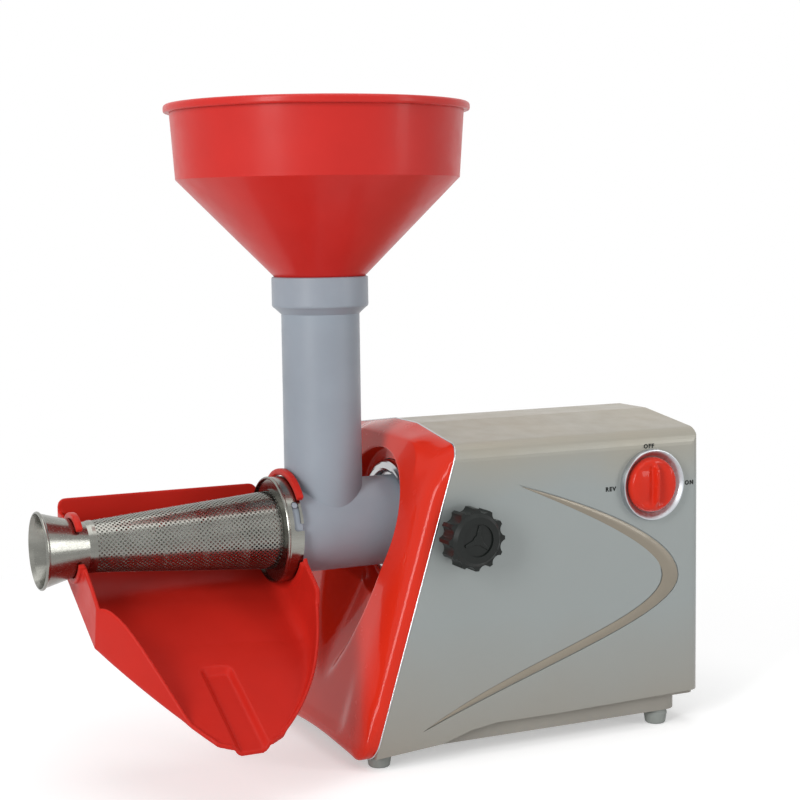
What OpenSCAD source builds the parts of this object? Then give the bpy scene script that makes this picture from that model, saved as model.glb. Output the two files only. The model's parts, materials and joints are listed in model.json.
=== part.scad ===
// Electric tomato press: a geared motor unit with a removable pressing head.
// Working frame: X along the drive axis (outlet at low X, motor at high X),
// Y across the machine, Z up from the floor. The feed tube stands on X = 0, Y = 0.

/* [Drive axis] */
// Height of the auger and output shaft above the floor
axis_z = 165; // [164:0.5:167]

/* [Funnel] */
// Radius of the bowl wall just under the lip
bowl_r = 107.5; // [100:0.5:112]
// How far the lip stands out from the bowl wall
lip_out = 4.4; // [3:0.2:6]
// Height of the top of the lip
funnel_top_z = 476.4; // [470:0.2:484]
// Height at which the bowl turns into the cone
bowl_kink_z = 422.3; // [415:0.5:430]
// Wall thickness of the funnel
funnel_wall = 2.6; // [2:0.2:3.4]

/* [Head] */
// Radius of the feed tube
tube_r = 29; // [28:0.5:30]
// Radius of the collar that carries the funnel
collar_r = 35.7; // [34:0.1:38]
// Height of the top of the collar
collar_top_z = 350.9; // [345:0.5:356]
// Height of the collar
collar_h = 23; // [18:1:30]
// Radius of the horizontal barrel
barrel_r = 33.7; // [33:0.1:34.2]
// Radius of the bore that the auger turns in
barrel_bore_r = 28.9; // [28.7:0.1:29.2]

/* [Strainer] */
// Radius of the strainer at its wide end
screen_r_wide = 29; // [28.8:0.1:29.2]
// Radius of the strainer at its narrow end
screen_r_narrow = 18.2; // [18:0.1:18.6]
// Length of the strainer cone
screen_len = 137.7; // [136:0.5:139]
// Radius of the flared outlet mouth
mouth_r = 27.7; // [26:0.1:29]
// Radius of the flange that holds the strainer on the head
flange_r = 38.9; // [38.7:0.1:39.2]
// Turn that frees the bayonet, in degrees
bayonet_turn = 25; // [20:1:30]

/* [Auger] */
// Axial distance from one turn of the flight to the next
flight_pitch = 30; // [26:1:34]
// Thickness of the flight
flight_t = 3.2; // [2.6:0.2:4]

/* [Chute] */
// Wall thickness of the juice chute
chute_t = 2.5; // [2.2:0.1:3]
// Fall of the chute floor for each millimetre towards the spout
chute_fall = 0.52; // [0.5:0.01:0.54]

/* [Housing] */
// Half of the housing's width
half_w = 91.5; // [90:0.5:94]
// Height of the flat crest of the roof
crest_z = 239.4; // [236:0.2:242]
// Wall thickness of the housing shell and the bezel
shell_t = 3; // [2.6:0.1:3.2]
// Angle by which the front leans back, in degrees
front_tilt = 17.2; // [16.5:0.1:17.8]

/* [Controls] */
// Radius of the lobed lock knob
knob_r = 22.5; // [20:0.5:24]
// Number of lobes on the lock knob
knob_lobes = 12; // [8:1:16]
// Radius of the rotary switch cap
cap_r = 21; // [19:0.5:23]

/* [Gear train] */
// Teeth of the motor pinion and of both layshaft pinions
pinion_teeth = 12; // [12:1:12]
// Teeth of both layshaft gears
gear_teeth = 48; // [48:1:48]
// Teeth of the output gear
output_teeth = 54; // [54:1:54]

/* [Hidden] */
$fn = 64;

// Clearances between pieces that turn or slide in one another
run_gap = 0.05;
body_gap = 0.35;

// Radius of the head's plug, of the holes for its screws, and their circles of bolts
plug_r = 26;
screw_hole_r = 2.05;
socket_bolt_at = 46;
motor_bolt_at = 38.5;
// Directions of the three bayonet pins, in degrees from +Y towards +Z
bayonet_at = [145, 265, 25];

// Stations along the drive axis
mouth_x = -216.7;
screen_x_wide = -43;
screen_x_narrow = screen_x_wide - screen_len;
flange_front_x = -42.5;
flange_rear_x = -31.5;
spigot_front_x = -41;
seat_x = 56;
spigot_end_x = 84;
auger_x = [-176, 27];
panel_x = 50;
well_x = 57;
well_r = 54;

// Housing
front_foot_x = -19.6;
corner_r = 13;
corner_z = 218;
crest_half = 19;
rear_top_x = 272.5;
rear_bottom_x = 276;
hem_z = 23.5;
bezel_bottom_z = 7;
bezel_arch = 5;
bezel_rear_x = 80;
seam_depth = 15;
pocket_half = 55;
pocket_z = [21.5, 226];

// Controls on the near side
lock_x = 70;
lock_z = axis_z;
switch_x = 230;
switch_z = 190;
ring_r = 27;
gland_y = 40;
gland_z = 55;
gland_out = 12;

// Base
plinth_z = 11.5;
tray_rim_z = 24;
tray_t = 2.5;
tray_x = [1.5, 260];
tray_half = 85.5;
foot_x = [7.5, 244];
foot_y = 77;
foot_r = 9;
boss_x = [45, 236];
boss_y = 72;

// Chute
chute_left_x = -187.6;
chute_right_x = -32.4;
chute_mid_x = -113;
chute_right_foot_x = -36;
chute_back_y = 47;
chute_back_z = 193.5;
chute_floor_z0 = 124.8;
chute_drop = 7;
spout_y = -142.5;
groove_start_y = -69;
groove_depth = 4.5;
clip_gap = 0.8;

// Gear train: modules, centre distances and shaft places as [Y, Z]
gear_module = [1, 1.25, 1.5];
gear_play = 0.13;
press_angle = 25;
centre_1 = gear_module[0] * (pinion_teeth + gear_teeth) / 2;
centre_2 = gear_module[1] * (pinion_teeth + gear_teeth) / 2;
centre_3 = gear_module[2] * (pinion_teeth + output_teeth) / 2;
motor_at = [0, 88];
output_at = [0, axis_z];
lay_1_at = motor_at + centre_1 * [cos(21.1), sin(21.1)];
lay_2_at = meeting_point(lay_1_at, centre_2, output_at, centre_3);
gearbox_x = [88, 136];
plane_1_x = 125;
plane_2_x = 112;
plane_3_x = 93;
layshaft_r = 5;
output_r = 11;
motor_shaft_r = 4;

// Motor
stator_r = 42;
stator_x = [149, 204];
armature_r = 23.5;
bracket_front_x = 139;
bracket_rear_x = 240;
bearing_r = 11;
bearing_w = 7;

// The frame's origin is under the middle of the whole object
centre_x = (mouth_x + rear_bottom_x + gland_out) / 2;
centre_y = (spout_y + bowl_r + lip_out) / 2;

// Points on curves
function arc(c, r, a0, a1, n = 8) =
    [for (i = [0:n]) let (a = a0 + (a1 - a0) * i / n) c + r * [cos(a), sin(a)]];
function bezier(p, t) = pow(1 - t, 3) * p[0] + 3 * pow(1 - t, 2) * t * p[1]
    + 3 * (1 - t) * t * t * p[2] + pow(t, 3) * p[3];
function curve(p, n) = [for (i = [0:n]) bezier(p, i / n)];
function mirror_y(points) = [for (i = [len(points) - 1:-1:0]) [-points[i][0], points[i][1]]];
function unit(v) = v / norm(v);

// Where two circles meet, on the side of the lower first coordinate
function meeting_point(a, ra, b, rb) =
    let (d = norm(b - a), k = (ra * ra - rb * rb + d * d) / (2 * d), h = sqrt(ra * ra - k * k),
        e = (b - a) / d)
    a + k * e + h * [-e[1], e[0]];

// Placing helpers
module in_frame() translate([-centre_x, -centre_y, 0]) children();
module on_axis(at = output_at) translate([0, at[0], at[1]]) rotate([0, 90, 0]) children();
module rod(x0, x1, r, at = output_at) on_axis(at) translate([0, 0, x0]) cylinder(h = x1 - x0, r = r);
module turned(profile, at = output_at) on_axis(at) rotate_extrude() polygon(profile);
module yz_plate(x0, x1) translate([x0, 0, 0]) rotate([90, 0, 90]) linear_extrude(x1 - x0) children();
module xz_plate(y0, y1) translate([0, y1, 0]) rotate([90, 0, 0]) linear_extrude(y1 - y0) children();
module across(x, z, y0, y1, r) translate([x, y0, z]) rotate([-90, 0, 0]) cylinder(h = y1 - y0, r = r);
module box(low, high) translate(low) cube(high - low);
module on_bolts(x, circle_r, at = output_at) for (a = [45:90:315]) on_axis(at) rotate(a)
    translate([circle_r, 0, x]) children();
module round_rect(low, high, r, n = 6) polygon(concat(
    arc([low[0] + r, low[1] + r], r, 180, 270, n), arc([high[0] - r, low[1] + r], r, 270, 360, n),
    arc([high[0] - r, high[1] - r], r, 0, 90, n), arc([low[0] + r, high[1] - r], r, 90, 180, n)));

// Funnel: one moulded bowl, cone and spigot
module funnel() {
    t = funnel_wall;
    lip_h = 6;
    spigot_r = 26.92;
    spigot_h = 32.5;
    neck_r = 33.6;
    kink_r = bowl_r - 3.3;
    color([0.80, 0.16, 0.13]) rotate_extrude($fn = 128) polygon(concat(
        [[spigot_r - t, collar_top_z - spigot_h], [spigot_r, collar_top_z - spigot_h],
            [spigot_r, collar_top_z], [neck_r, collar_top_z], [kink_r, bowl_kink_z],
            [bowl_r, funnel_top_z - lip_h]],
        arc([bowl_r + lip_out - 1.5, funnel_top_z - lip_h + 1.5], 1.5, -90, 0, 3),
        arc([bowl_r + lip_out - 2.5, funnel_top_z - 2.5], 2.5, 0, 90, 4),
        arc([bowl_r - t + 1.5, funnel_top_z - 1.5], 1.5, 90, 180, 3),
        [[kink_r - t, bowl_kink_z + 1.2], [neck_r - t, collar_top_z + 4],
            [spigot_r - t, collar_top_z - 2]]));
}

// Head: feed tube, collar, barrel and the spigot that plugs into the motor unit
module head_casting() {
    socket_r = 26.92 + run_gap;
    tube_bore_r = 25.4;
    bush_r = 13 + run_gap;
    color([0.60, 0.64, 0.68]) difference() {
        union() {
            translate([0, 0, axis_z]) cylinder(h = collar_top_z - axis_z - 6, r = tube_r, $fn = 96);
            rotate_extrude($fn = 96) polygon(concat(
                [[tube_bore_r - 1, collar_top_z - collar_h - 5],
                    [tube_r - 0.5, collar_top_z - collar_h - 5]],
                arc([collar_r - 2.5, collar_top_z - collar_h + 2.5], 2.5, -70, 0, 4),
                arc([collar_r - 1.2, collar_top_z - 1.2], 1.2, 0, 90, 3),
                [[tube_bore_r - 1, collar_top_z]]));
            turned([[0, spigot_front_x], [37, spigot_front_x], [37, flange_rear_x - 0.3],
                [barrel_r, flange_rear_x + 1.5], [barrel_r, seat_x], [plug_r, seat_x],
                [plug_r, spigot_end_x - 1], [plug_r - 1, spigot_end_x], [0, spigot_end_x]]);
            for (a = bayonet_at) bayonet_pin(a);
        }
        rod(spigot_front_x - 1, 36, barrel_bore_r);
        rod(35, spigot_end_x + 1, bush_r);
        translate([0, 0, axis_z]) cylinder(h = collar_top_z - axis_z - 10, r = tube_bore_r);
        translate([0, 0, collar_top_z - 33]) cylinder(h = 34, r = socket_r);
        turned([[30.5, spigot_front_x - 1], [34.5, spigot_front_x - 1], [34.5, -38.8], [30.5, -38.8]]);
    }
}
module bayonet_pin(a, r = 2.2, reach = 38.6) translate([-36.2, 0, axis_z]) rotate([a, 0, 0])
    translate([0, 30, 0]) rotate([-90, 0, 0]) cylinder(h = reach - 30, r = r, $fn = 24);

// Auger: tapered root with one continuous flight, a journal and a square drive
function screen_bore_r(x) = screen_r_wide - 0.8
    - (screen_r_wide - screen_r_narrow) * max(0, screen_x_wide - x) / screen_len;
function flight_r(x) = min(barrel_bore_r - 0.7, screen_bore_r(x) - 0.8);
function root_r(x) = 11 - 3 * max(0, -x) / 180;
module auger() {
    steps = 20;
    turns = (auger_x[1] - auger_x[0]) / flight_pitch;
    rings = floor(turns * steps);
    function ring(i) =
        let (a = 360 * i / steps, x = auger_x[0] + flight_pitch * i / steps,
            e = min(1, (i + 4) / 10, (rings - i + 4) / 10),
            rr = root_r(x) - 2, ro = rr + (flight_r(x) - rr) * e, w = flight_t / 2, v = w * 0.7)
        [[x - w, rr * cos(a), rr * sin(a)], [x - v, ro * cos(a), ro * sin(a)],
            [x + v, ro * cos(a), ro * sin(a)], [x + w, rr * cos(a), rr * sin(a)]];
    points = [for (i = [0:rings]) each ring(i)];
    sides = [for (i = [0:rings - 1], k = [0:3]) let (a = 4 * i + k, b = 4 * i + (k + 1) % 4)
        each [[a, b, a + 4], [b, b + 4, a + 4]]];
    last = 4 * rings;
    caps = [[2, 1, 0], [3, 2, 0], [last, last + 1, last + 2], [last, last + 2, last + 3]];
    color([0.86, 0.86, 0.84]) union() {
        translate([0, 0, axis_z]) polyhedron(points, concat(sides, caps));
        turned([[0, -182], [5, -182], [root_r(-178), -178], [root_r(0), 0], [root_r(0), 28],
            [20, 30], [20, 35.4], [9, 35.4], [9, 85], [0, 85]]);
        on_axis() translate([0, 0, 85]) rotate(45) cylinder(h = 15, r = 8.2, $fn = 4);
    }
}
module auger_bush() color([0.72, 0.56, 0.30]) on_axis() translate([0, 0, 36.5]) difference() {
    cylinder(h = 47, r = 13);
    translate([0, 0, -1]) cylinder(h = 49, r = 9 + run_gap);
}

// Seal in the front face of the head
module flange_seal() color([0.2, 0.2, 0.2]) turned([[30.6, -41.15], [34.4, -41.15],
    [34.4, -38.8], [30.6, -38.8]]);

// Strainer: perforated cone between a bayonet flange and the flared outlet
module strainer_screen() color([0.70, 0.71, 0.72]) turned([
    [screen_r_wide - 0.8, screen_x_wide + 0.5], [screen_r_wide - 0.8, screen_x_wide],
    [screen_r_narrow - 0.8, screen_x_narrow], [screen_r_narrow, screen_x_narrow],
    [screen_r_wide, screen_x_wide], [screen_r_wide, screen_x_wide + 0.5]]);
module strainer_flange() {
    t = 1.2;
    slot_w = 5.2;
    slot_x = -36.2;
    color([0.76, 0.76, 0.76]) difference() {
        turned(concat([[screen_r_wide, -44.5], [screen_r_wide + 1, -44.5],
            [screen_r_wide + 1, flange_front_x], [flange_r - 1, flange_front_x]],
            arc([flange_r - 0.8, flange_front_x - 0.5], 1.3, -110, 60, 6),
            [[flange_r, flange_front_x + 1.5], [flange_r, flange_rear_x], [flange_r - t, flange_rear_x],
            [flange_r - t, flange_front_x + t], [screen_r_wide, flange_front_x + t]]));
        for (a = bayonet_at) {
            for (e = [0, bayonet_turn]) bayonet_pin(a + e, slot_w / 2 + 0.15, flange_r + 3);
            on_axis() rotate(a + 90) rotate_extrude(angle = bayonet_turn)
                translate([flange_r - 3, slot_x - slot_w / 2]) square([6, slot_w]);
            translate([slot_x, 0, axis_z]) rotate([a + bayonet_turn, 0, 0])
                translate([0, flange_r - 3, -slot_w / 2]) cube([20, 8, slot_w]);
        }
    }
}
module outlet_cone() color([0.72, 0.70, 0.66]) turned(concat(
    [[screen_r_narrow - 0.9, screen_x_narrow], [screen_r_narrow - 1.4, screen_x_narrow - 3],
        [mouth_r - 2.4, mouth_x + 3], [mouth_r - 1.3, mouth_x]],
    arc([mouth_r - 1.1, mouth_x + 1.2], 1.2, -90, 90, 6),
    [[mouth_r - 1.5, mouth_x + 3.2], [screen_r_narrow - 0.3, screen_x_narrow - 3],
        [screen_r_narrow + 0.55, screen_x_narrow], [screen_r_narrow + 0.55, screen_x_narrow + 2.5],
        [screen_r_narrow + 0.22, screen_x_narrow + 2.5], [screen_r_narrow + 0.02, screen_x_narrow]]));

// Chute: lofted trough that narrows to a spout, with clips over outlet and flange
function floor_z(y) = chute_floor_z0 + chute_fall * y;
function lip_point(x, up, y) = [x, y, floor_z(y) + up];
left_foot = [[chute_left_x, -42], [-184, -64], [-158, -104], [-137, -135]];
right_foot = [[chute_right_foot_x, -50], [-39, -74], [-62, -113], [-88, -134]];
right_brim = [[chute_right_x, -57, 130], [-36, -77, 86], [-60, -115, 73], [-87.5, -135.5, 56.5]];
// Height of the left brim, which meets the floor at nine tenths of the way to the spout
left_brim_z = [127, 140, 95, 57];
function left_brim(t, foot) = [foot[0] - 0.2, foot[1],
    max(floor_z(foot[1]) + 1.8, bezier(left_brim_z, min(1, t / 0.9)))];
// Each station is [left brim, left foot, right foot, right brim, groove depth, fillet]
function station(t) =
    let (l = bezier(left_foot, t), r = bezier(right_foot, t), drop = chute_drop * pow(1 - t, 1.5))
    [left_brim(t, l), [l[0], l[1], floor_z(l[1])], [r[0], r[1], floor_z(r[1]) - drop],
        bezier(right_brim, t), groove_depth * max(0, min(1, (groove_start_y - l[1]) / 6)),
        9 * (1 - t) + 1.2];
function back_station(y, left_z, right_z) =
    [[chute_left_x, y, left_z], [chute_left_x, y, floor_z(y)],
        [chute_right_foot_x, y, floor_z(y) - chute_drop], [chute_right_x, y, right_z], 0, 10];
function lip_station(y, half) =
    [lip_point(chute_mid_x - half - 0.6, 1.8, y), lip_point(chute_mid_x - half, 0, y),
        lip_point(chute_mid_x + half, 0, y), lip_point(chute_mid_x + half + 0.6, 1.8, y),
        groove_depth, 0.6];
function chute_stations() = concat(
    [back_station(chute_back_y - 1, 164, 157), back_station(26, 147, 143), back_station(0, 141, 136)],
    [for (i = [0:15]) station(i / 15)],
    [lip_station(spout_y + 4, 21.5), lip_station(spout_y, 13)]);
function blend3(a, b, c, r, n = 4) =
    let (p = b + min(r, 0.45 * norm(a - b)) * unit(a - b), q = b + r * unit(c - b))
    [for (i = [0:n]) let (t = i / n) (1 - t) * (1 - t) * p + 2 * t * (1 - t) * b + t * t * q];
function floor_mark(s, x, depth) =
    let (k = (x - s[1][0]) / (s[2][0] - s[1][0])) s[1] + k * (s[2] - s[1]) - [0, 0, depth];
function outline(s) = concat([s[0]], blend3(s[0], s[1], s[2], s[5]),
    [floor_mark(s, chute_mid_x - 11, 0), floor_mark(s, chute_mid_x - 8, s[4]),
        floor_mark(s, chute_mid_x + 8, s[4]), floor_mark(s, chute_mid_x + 11, 0)],
    reverse(blend3(s[3], s[2], s[1], s[5])), [s[3]]);
function reverse(list) = [for (i = [len(list) - 1:-1:0]) list[i]];
// Points moved outwards by the wall thickness, square to the outline seen along Y
function pushed(p, t) = [for (i = [0:len(p) - 1])
    let (a = p[max(0, i - 1)], b = p[min(len(p) - 1, i + 1)], d = unit([b[0] - a[0], b[2] - a[2]]))
    p[i] + t * [d[1], 0, -d[0]]];
module chute_trough() {
    rows = [for (s = chute_stations()) outline(s)];
    m = len(rows[0]);
    n = len(rows);
    points = concat([for (r = rows) each r], [for (r = rows) each pushed(r, chute_t)]);
    q = n * m;
    inner = [for (i = [0:n - 2], j = [0:m - 2]) let (a = i * m + j)
        each [[a, a + 1, a + m], [a + 1, a + m + 1, a + m]]];
    outer = [for (i = [0:n - 2], j = [0:m - 2]) let (a = q + i * m + j)
        each [[a, a + m, a + 1], [a + 1, a + m, a + m + 1]]];
    brims = [for (i = [0:n - 2], j = [0, m - 1]) let (a = i * m + j, s = j == 0)
        each s ? [[a, a + m, q + a], [a + m, q + a + m, q + a]]
            : [[a, q + a, a + m], [a + m, q + a, q + a + m]]];
    ends = [for (i = [0, n - 1], j = [0:m - 2]) let (a = i * m + j, s = i == 0)
        each s ? [[a, q + a, a + 1], [a + 1, q + a, q + a + 1]]
            : [[a, a + 1, q + a], [a + 1, q + a + 1, q + a]]];
    polyhedron(points, concat(inner, outer, brims, ends));
}
module ring_sector(r0, r1, a0, a1) {
    far = 3 * r1;
    translate([0, axis_z]) difference() {
        circle(r = r1);
        circle(r = r0);
        polygon([[0, 0], for (k = [0, 1, 2]) let (a = a1 + (a0 + 360 - a1) * k / 2)
            far * [cos(a), sin(a)]]);
    }
}
module chute() {
    neck_r = 21;
    clip_r = flange_r + clip_gap;
    function under(y, drop) = [y, floor_z(y) - drop - 1];
    color([0.78, 0.14, 0.11]) union() {
        difference() {
            union() {
                chute_trough();
                // Back wall with rounded upper corners
                xz_plate(chute_back_y - chute_t, chute_back_y + 0.4) polygon(concat(
                    [[chute_left_x - 3, 146], [-29.5, 139], [-29.5, 168], [-36, 180]],
                    arc([-43, chute_back_z - 7], 7, 0, 90, 4),
                    arc([chute_left_x + 2, chute_back_z - 5], 5, 90, 180, 4)));
                // End walls beside the outlet's neck and beside the flange
                yz_plate(chute_left_x - 3.2, chute_left_x + 0.7) polygon([under(chute_back_y, 0),
                    [chute_back_y, 184], [20, 180], [0, axis_z], [-10, axis_z], [-24, 150.5],
                    [-37, 138.5], [-50, 126], [-50, 120], under(4, 0)]);
                yz_plate(chute_right_x - 0.6, -29.5) polygon([[-61, 131], [-40, 146], [-34, 158],
                    [chute_back_y, 158], under(chute_back_y, chute_drop), under(4, chute_drop),
                    [-50, 90], [-57, 104], [-61.5, 122]]);
            }
            rod(-200, -180, neck_r + 1.5);
            rod(-50, -20, clip_r + 1.5);
        }
        // Clips that snap over the outlet's neck and over the strainer flange
        yz_plate(chute_left_x - 6, chute_left_x + 1.5) ring_sector(neck_r, neck_r + 4.2, -158, 128);
        yz_plate(-34.5, -29.6) ring_sector(clip_r, clip_r + 5, -152, 141);
    }
}

// Housing: cross-section with a crowned roof, inset for the inner faces
function roof_half(inset) = concat(
    arc([half_w - corner_r, corner_z], corner_r - inset, 0, 82),
    [[crest_half, crest_z - inset]]);
module case_section(inset, low_z) polygon(concat([[half_w - inset, low_z]], roof_half(inset),
    mirror_y(roof_half(inset)), [[-half_w + inset, low_z]]));
function seam_x(z) = front_foot_x + seam_depth + z * tan(front_tilt);
module bezel_section(inset) {
    r = 14 - inset;
    chord = half_w - 14;
    arch_r = (chord * chord + bezel_arch * bezel_arch) / (2 * bezel_arch);
    arch_a = asin(chord / arch_r);
    arch_z = bezel_bottom_z + bezel_arch - arch_r;
    side_z = bezel_bottom_z + inset + r;
    polygon(concat(arc([half_w - inset - r, side_z], r, -90, 0), roof_half(inset),
        mirror_y(roof_half(inset)), arc([inset + r - half_w, side_z], r, 180, 270),
        arc([0, arch_z + inset], arch_r, 90 + arch_a * 0.9, 90 - arch_a * 0.9, 10)));
}
module shell_profile(inset) {
    i = inset;
    open = i > 0 ? 20 : 0;
    polygon(concat([[seam_x(9.4 - open) - open, 9.4 - open], [seam_x(250) - open, 250],
        [rear_top_x - i, 250], [rear_bottom_x - i, hem_z + 2.5 - open]],
        i > 0 ? [] : [[150, hem_z], [96, hem_z], [75, 20.5], [52, 13.5]]));
}
module rear_round(inset) {
    r = 9 - inset;
    linear_extrude(260) round_rect([-80, -half_w + inset], [rear_bottom_x - inset, half_w - inset], r);
}
module swoosh() xz_plate(-half_w - 1, -half_w + 0.7) polygon(concat(
    curve([[117, 198], [175, 180], [255, 150], [255.6, 118]], 14),
    curve([[255.6, 118], [256, 88], [140, 64], [36, 24.5]], 16),
    reverse(curve([[240, 119.5], [240, 88], [120, 70], [38.8, 26.2]], 16)),
    reverse(curve([[117, 197.5], [165, 180], [240, 150], [240, 119.5]], 14))));
module housing_shell() color([0.60, 0.62, 0.60]) difference() {
    union() {
        difference() {
            intersection() {
                yz_plate(-20, 290) case_section(0, 5);
                xz_plate(-100, 100) shell_profile(0);
                rear_round(0);
            }
            intersection() {
                yz_plate(-30, 290) case_section(shell_t, -5);
                xz_plate(-110, 110) shell_profile(shell_t);
                rear_round(shell_t);
            }
        }
        for (x = boss_x, s = [-1, 1]) {
            translate([x, s * boss_y, 26.5]) cylinder(h = 22, r = 5);
            box([x - 1.2, s > 0 ? boss_y : -half_w + 1, 27.5], [x + 1.2, s > 0 ? half_w - 1 : -boss_y, 46]);
        }
    }
    for (x = boss_x, s = [-1, 1]) translate([x, s * boss_y, 20])
        cylinder(h = 26, r = screw_hole_r, $fn = 24);
    across(lock_x, lock_z, -100, -80, 8);
    across(switch_x, switch_z, -100, -80, 5);
    rod(260, 290, 8.2, [gland_y, gland_z]);
    for (i = [-4:4], z = [100, 150]) box([262, 9 * i - 2, z], [290, 9 * i + 2, z + 38]);
    swoosh();
}

// Front bezel: leaning frame with a hollowed panel and the well of the head socket
module pocket(grow) {
    g = grow;
    intersection() {
        yz_plate(-60, 80) round_rect([-pocket_half - g, pocket_z[0] - g],
            [pocket_half + g, pocket_z[1] + g], 12 + g);
        xz_plate(-80, 80) polygon(concat([[-80, 0], [-9 + g, 0]],
            curve([[-9 + g, 25 - g], [12 + g, 62 - g], [panel_x + g, 100], [panel_x + g, 150]], 10),
            [[panel_x + g, 240], [-80, 240]]));
    }
    rod(-60, well_x + g, well_r + g);
}
// Leaning block behind the front face, as deep as the tub round the drive socket
module bezel_block(inset) intersection() {
    i = inset;
    yz_plate(-40, bezel_rear_x + i) bezel_section(i);
    xz_plate(-100, 100) polygon(concat([[100, 0], [100, 250]],
        curve([[68, 245], [58, 241 - i], [53 + i, 236 - i], [50 + i * 1.05, 225]], 6),
        curve([[-14.65 + i * 1.05, 16], [-17 + i, 9 + i], [-16 + i, 7 + i], [-10, 6.5 + i]], 5)));
    translate([front_foot_x + i / cos(front_tilt), 0, 0]) rotate([0, front_tilt, 0])
        translate([0, 0, -30]) linear_extrude(320)
            round_rect([0, -half_w + i], [200, half_w - i], 16 - i, 8);
}
module front_bezel() color([0.85, 0.22, 0.12]) difference() {
    intersection() {
        bezel_block(0);
        union() {
            xz_plate(-100, 100) polygon([[-60, -5], [seam_x(-5), -5], [seam_x(250), 250], [-60, 250]]);
            pocket(shell_t);
        }
    }
    pocket(0);
    difference() {
        bezel_block(shell_t);
        pocket(shell_t);
    }
    rod(40, 90, 46);
}

// Base: inset plinth with a rim inside the shell, posts and feet
module base_tray() {
    t = tray_t;
    color([0.55, 0.56, 0.55]) difference() {
        union() {
            difference() {
                union() {
                    translate([0, 0, plinth_z]) linear_extrude(tray_rim_z - plinth_z)
                        round_rect([tray_x[0], -tray_half], [tray_x[1], tray_half], 12);
                    translate([0, 0, tray_rim_z - 1]) linear_extrude(3)
                        round_rect([14, -half_w + shell_t + 0.2],
                            [rear_bottom_x - shell_t - 0.6, half_w - shell_t - 0.2], 6);
                }
                translate([0, 0, plinth_z + t]) linear_extrude(30)
                    round_rect([tray_x[0] + t, -tray_half + t], [tray_x[1] - t, tray_half - t], 10);
            }
            for (x = boss_x, s = [-1, 1]) translate([x, s * boss_y, plinth_z]) cylinder(h = 15, r = 6);
            for (x = foot_x, s = [-1, 1]) translate([x, s * foot_y, plinth_z]) cylinder(h = 6, r = 5.5);
        }
        for (x = boss_x, s = [-1, 1]) translate([x, s * boss_y, 0]) {
            translate([0, 0, 5]) cylinder(h = 40, r = 2.1, $fn = 24);
            translate([0, 0, 5]) cylinder(h = 15, r = 4.2, $fn = 32);
        }
        for (x = foot_x, s = [-1, 1]) translate([x, s * foot_y, 0]) cylinder(h = 16.5, r = 1.7, $fn = 24);
        for (i = [0:8]) box([150 + 9 * i, -30, 5], [154 + 9 * i, 30, 15]);
    }
}
module foot(x, y) color([0.45, 0.47, 0.45]) translate([x, y, 0]) difference() {
    rotate_extrude() polygon(concat([[0, 0]], arc([foot_r - 3, 2], 2, -90, 0, 3),
        arc([foot_r - 1.5, plinth_z - 3], 1.5, 0, 60, 3), [[foot_r - 1.5, plinth_z], [0, plinth_z]]));
    translate([0, 0, 5]) cylinder(h = 20, r = 1.75, $fn = 24);
    translate([0, 0, -1]) cylinder(h = 6.5, r = 3.6, $fn = 32);
}
module screw(at, dir, shank_r, shank_l, head_r, head_h) translate(at) rotate(dir) {
    translate([0, 0, -head_h]) cylinder(h = head_h, r = head_r, $fn = 32);
    cylinder(h = shank_l, r = shank_r, $fn = 24);
}
module foot_screws() color([0.7, 0.7, 0.7]) for (x = foot_x, s = [-1, 1])
    screw([x, s * foot_y, 5.5], [0, 0, 0], 1.65, 10, 3.3, 2);
module base_screws() color([0.7, 0.7, 0.7]) for (x = boss_x, s = [-1, 1])
    screw([x, s * boss_y, 20], [0, 0, 0], 2, 22, 4, 3);

// Socket that receives the head, with the boss of the lock screw
module head_socket() color([0.75, 0.75, 0.76]) difference() {
    union() {
        turned(concat([[0, 55.5]], arc([40.5, 55.5], 5, 180, 360, 10), [[45.5, 62], [42, 64],
            [42, 82], [50, 82], [50, gearbox_x[0]], [0, gearbox_x[0]]]));
        across(lock_x, lock_z, -62, -30, 9.5);
    }
    rod(49, 56.2, barrel_r + 1.6);
    rod(55, 95, plug_r + run_gap);
    across(lock_x, lock_z, -63, -42, 7.5 + 0.02);
    across(lock_x, lock_z, -43, -20, 5.3);
    on_bolts(70, socket_bolt_at) cylinder(h = 30, r = screw_hole_r, $fn = 24);
}
module socket_screws() color([0.6, 0.6, 0.6]) on_bolts(82, socket_bolt_at) {
    translate([0, 0, -3]) cylinder(h = 3, r = 3.8, $fn = 32);
    cylinder(h = 12, r = 2, $fn = 24);
}
module lock_insert() color([0.78, 0.62, 0.30]) difference() {
    across(lock_x, lock_z, -62, -42, 7.5);
    across(lock_x, lock_z, -63, -41, 5 + run_gap);
}
module lock_stud() color([0.70, 0.70, 0.70]) union() {
    across(lock_x, lock_z, -108, -29, 5);
    across(lock_x, lock_z, -30, -26 - body_gap, 3.5);
}
module lock_knob() {
    lobe_a = 360 / knob_lobes;
    waist = knob_r - 3.4;
    color([0.13, 0.14, 0.13]) difference() {
        union() {
            across(lock_x, lock_z, -98, -92.8, 13);
            translate([lock_x, -97.5, lock_z]) rotate([90, 0, 0]) linear_extrude(15.5) difference() {
                circle(r = knob_r, $fn = 96);
                for (i = [0:knob_lobes - 1]) rotate(lobe_a * (i + 0.5)) translate([knob_r + 2.2, 0])
                    circle(r = 5.2, $fn = 32);
            }
            translate([lock_x, -113, lock_z]) rotate([90, 0, 0])
                cylinder(h = 2, r1 = waist, r2 = waist - 2.5);
        }
        across(lock_x, lock_z, -108.5, -90, 5 + run_gap);
        across(lock_x, lock_z, -120, -113.6, 12);
    }
}

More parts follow.
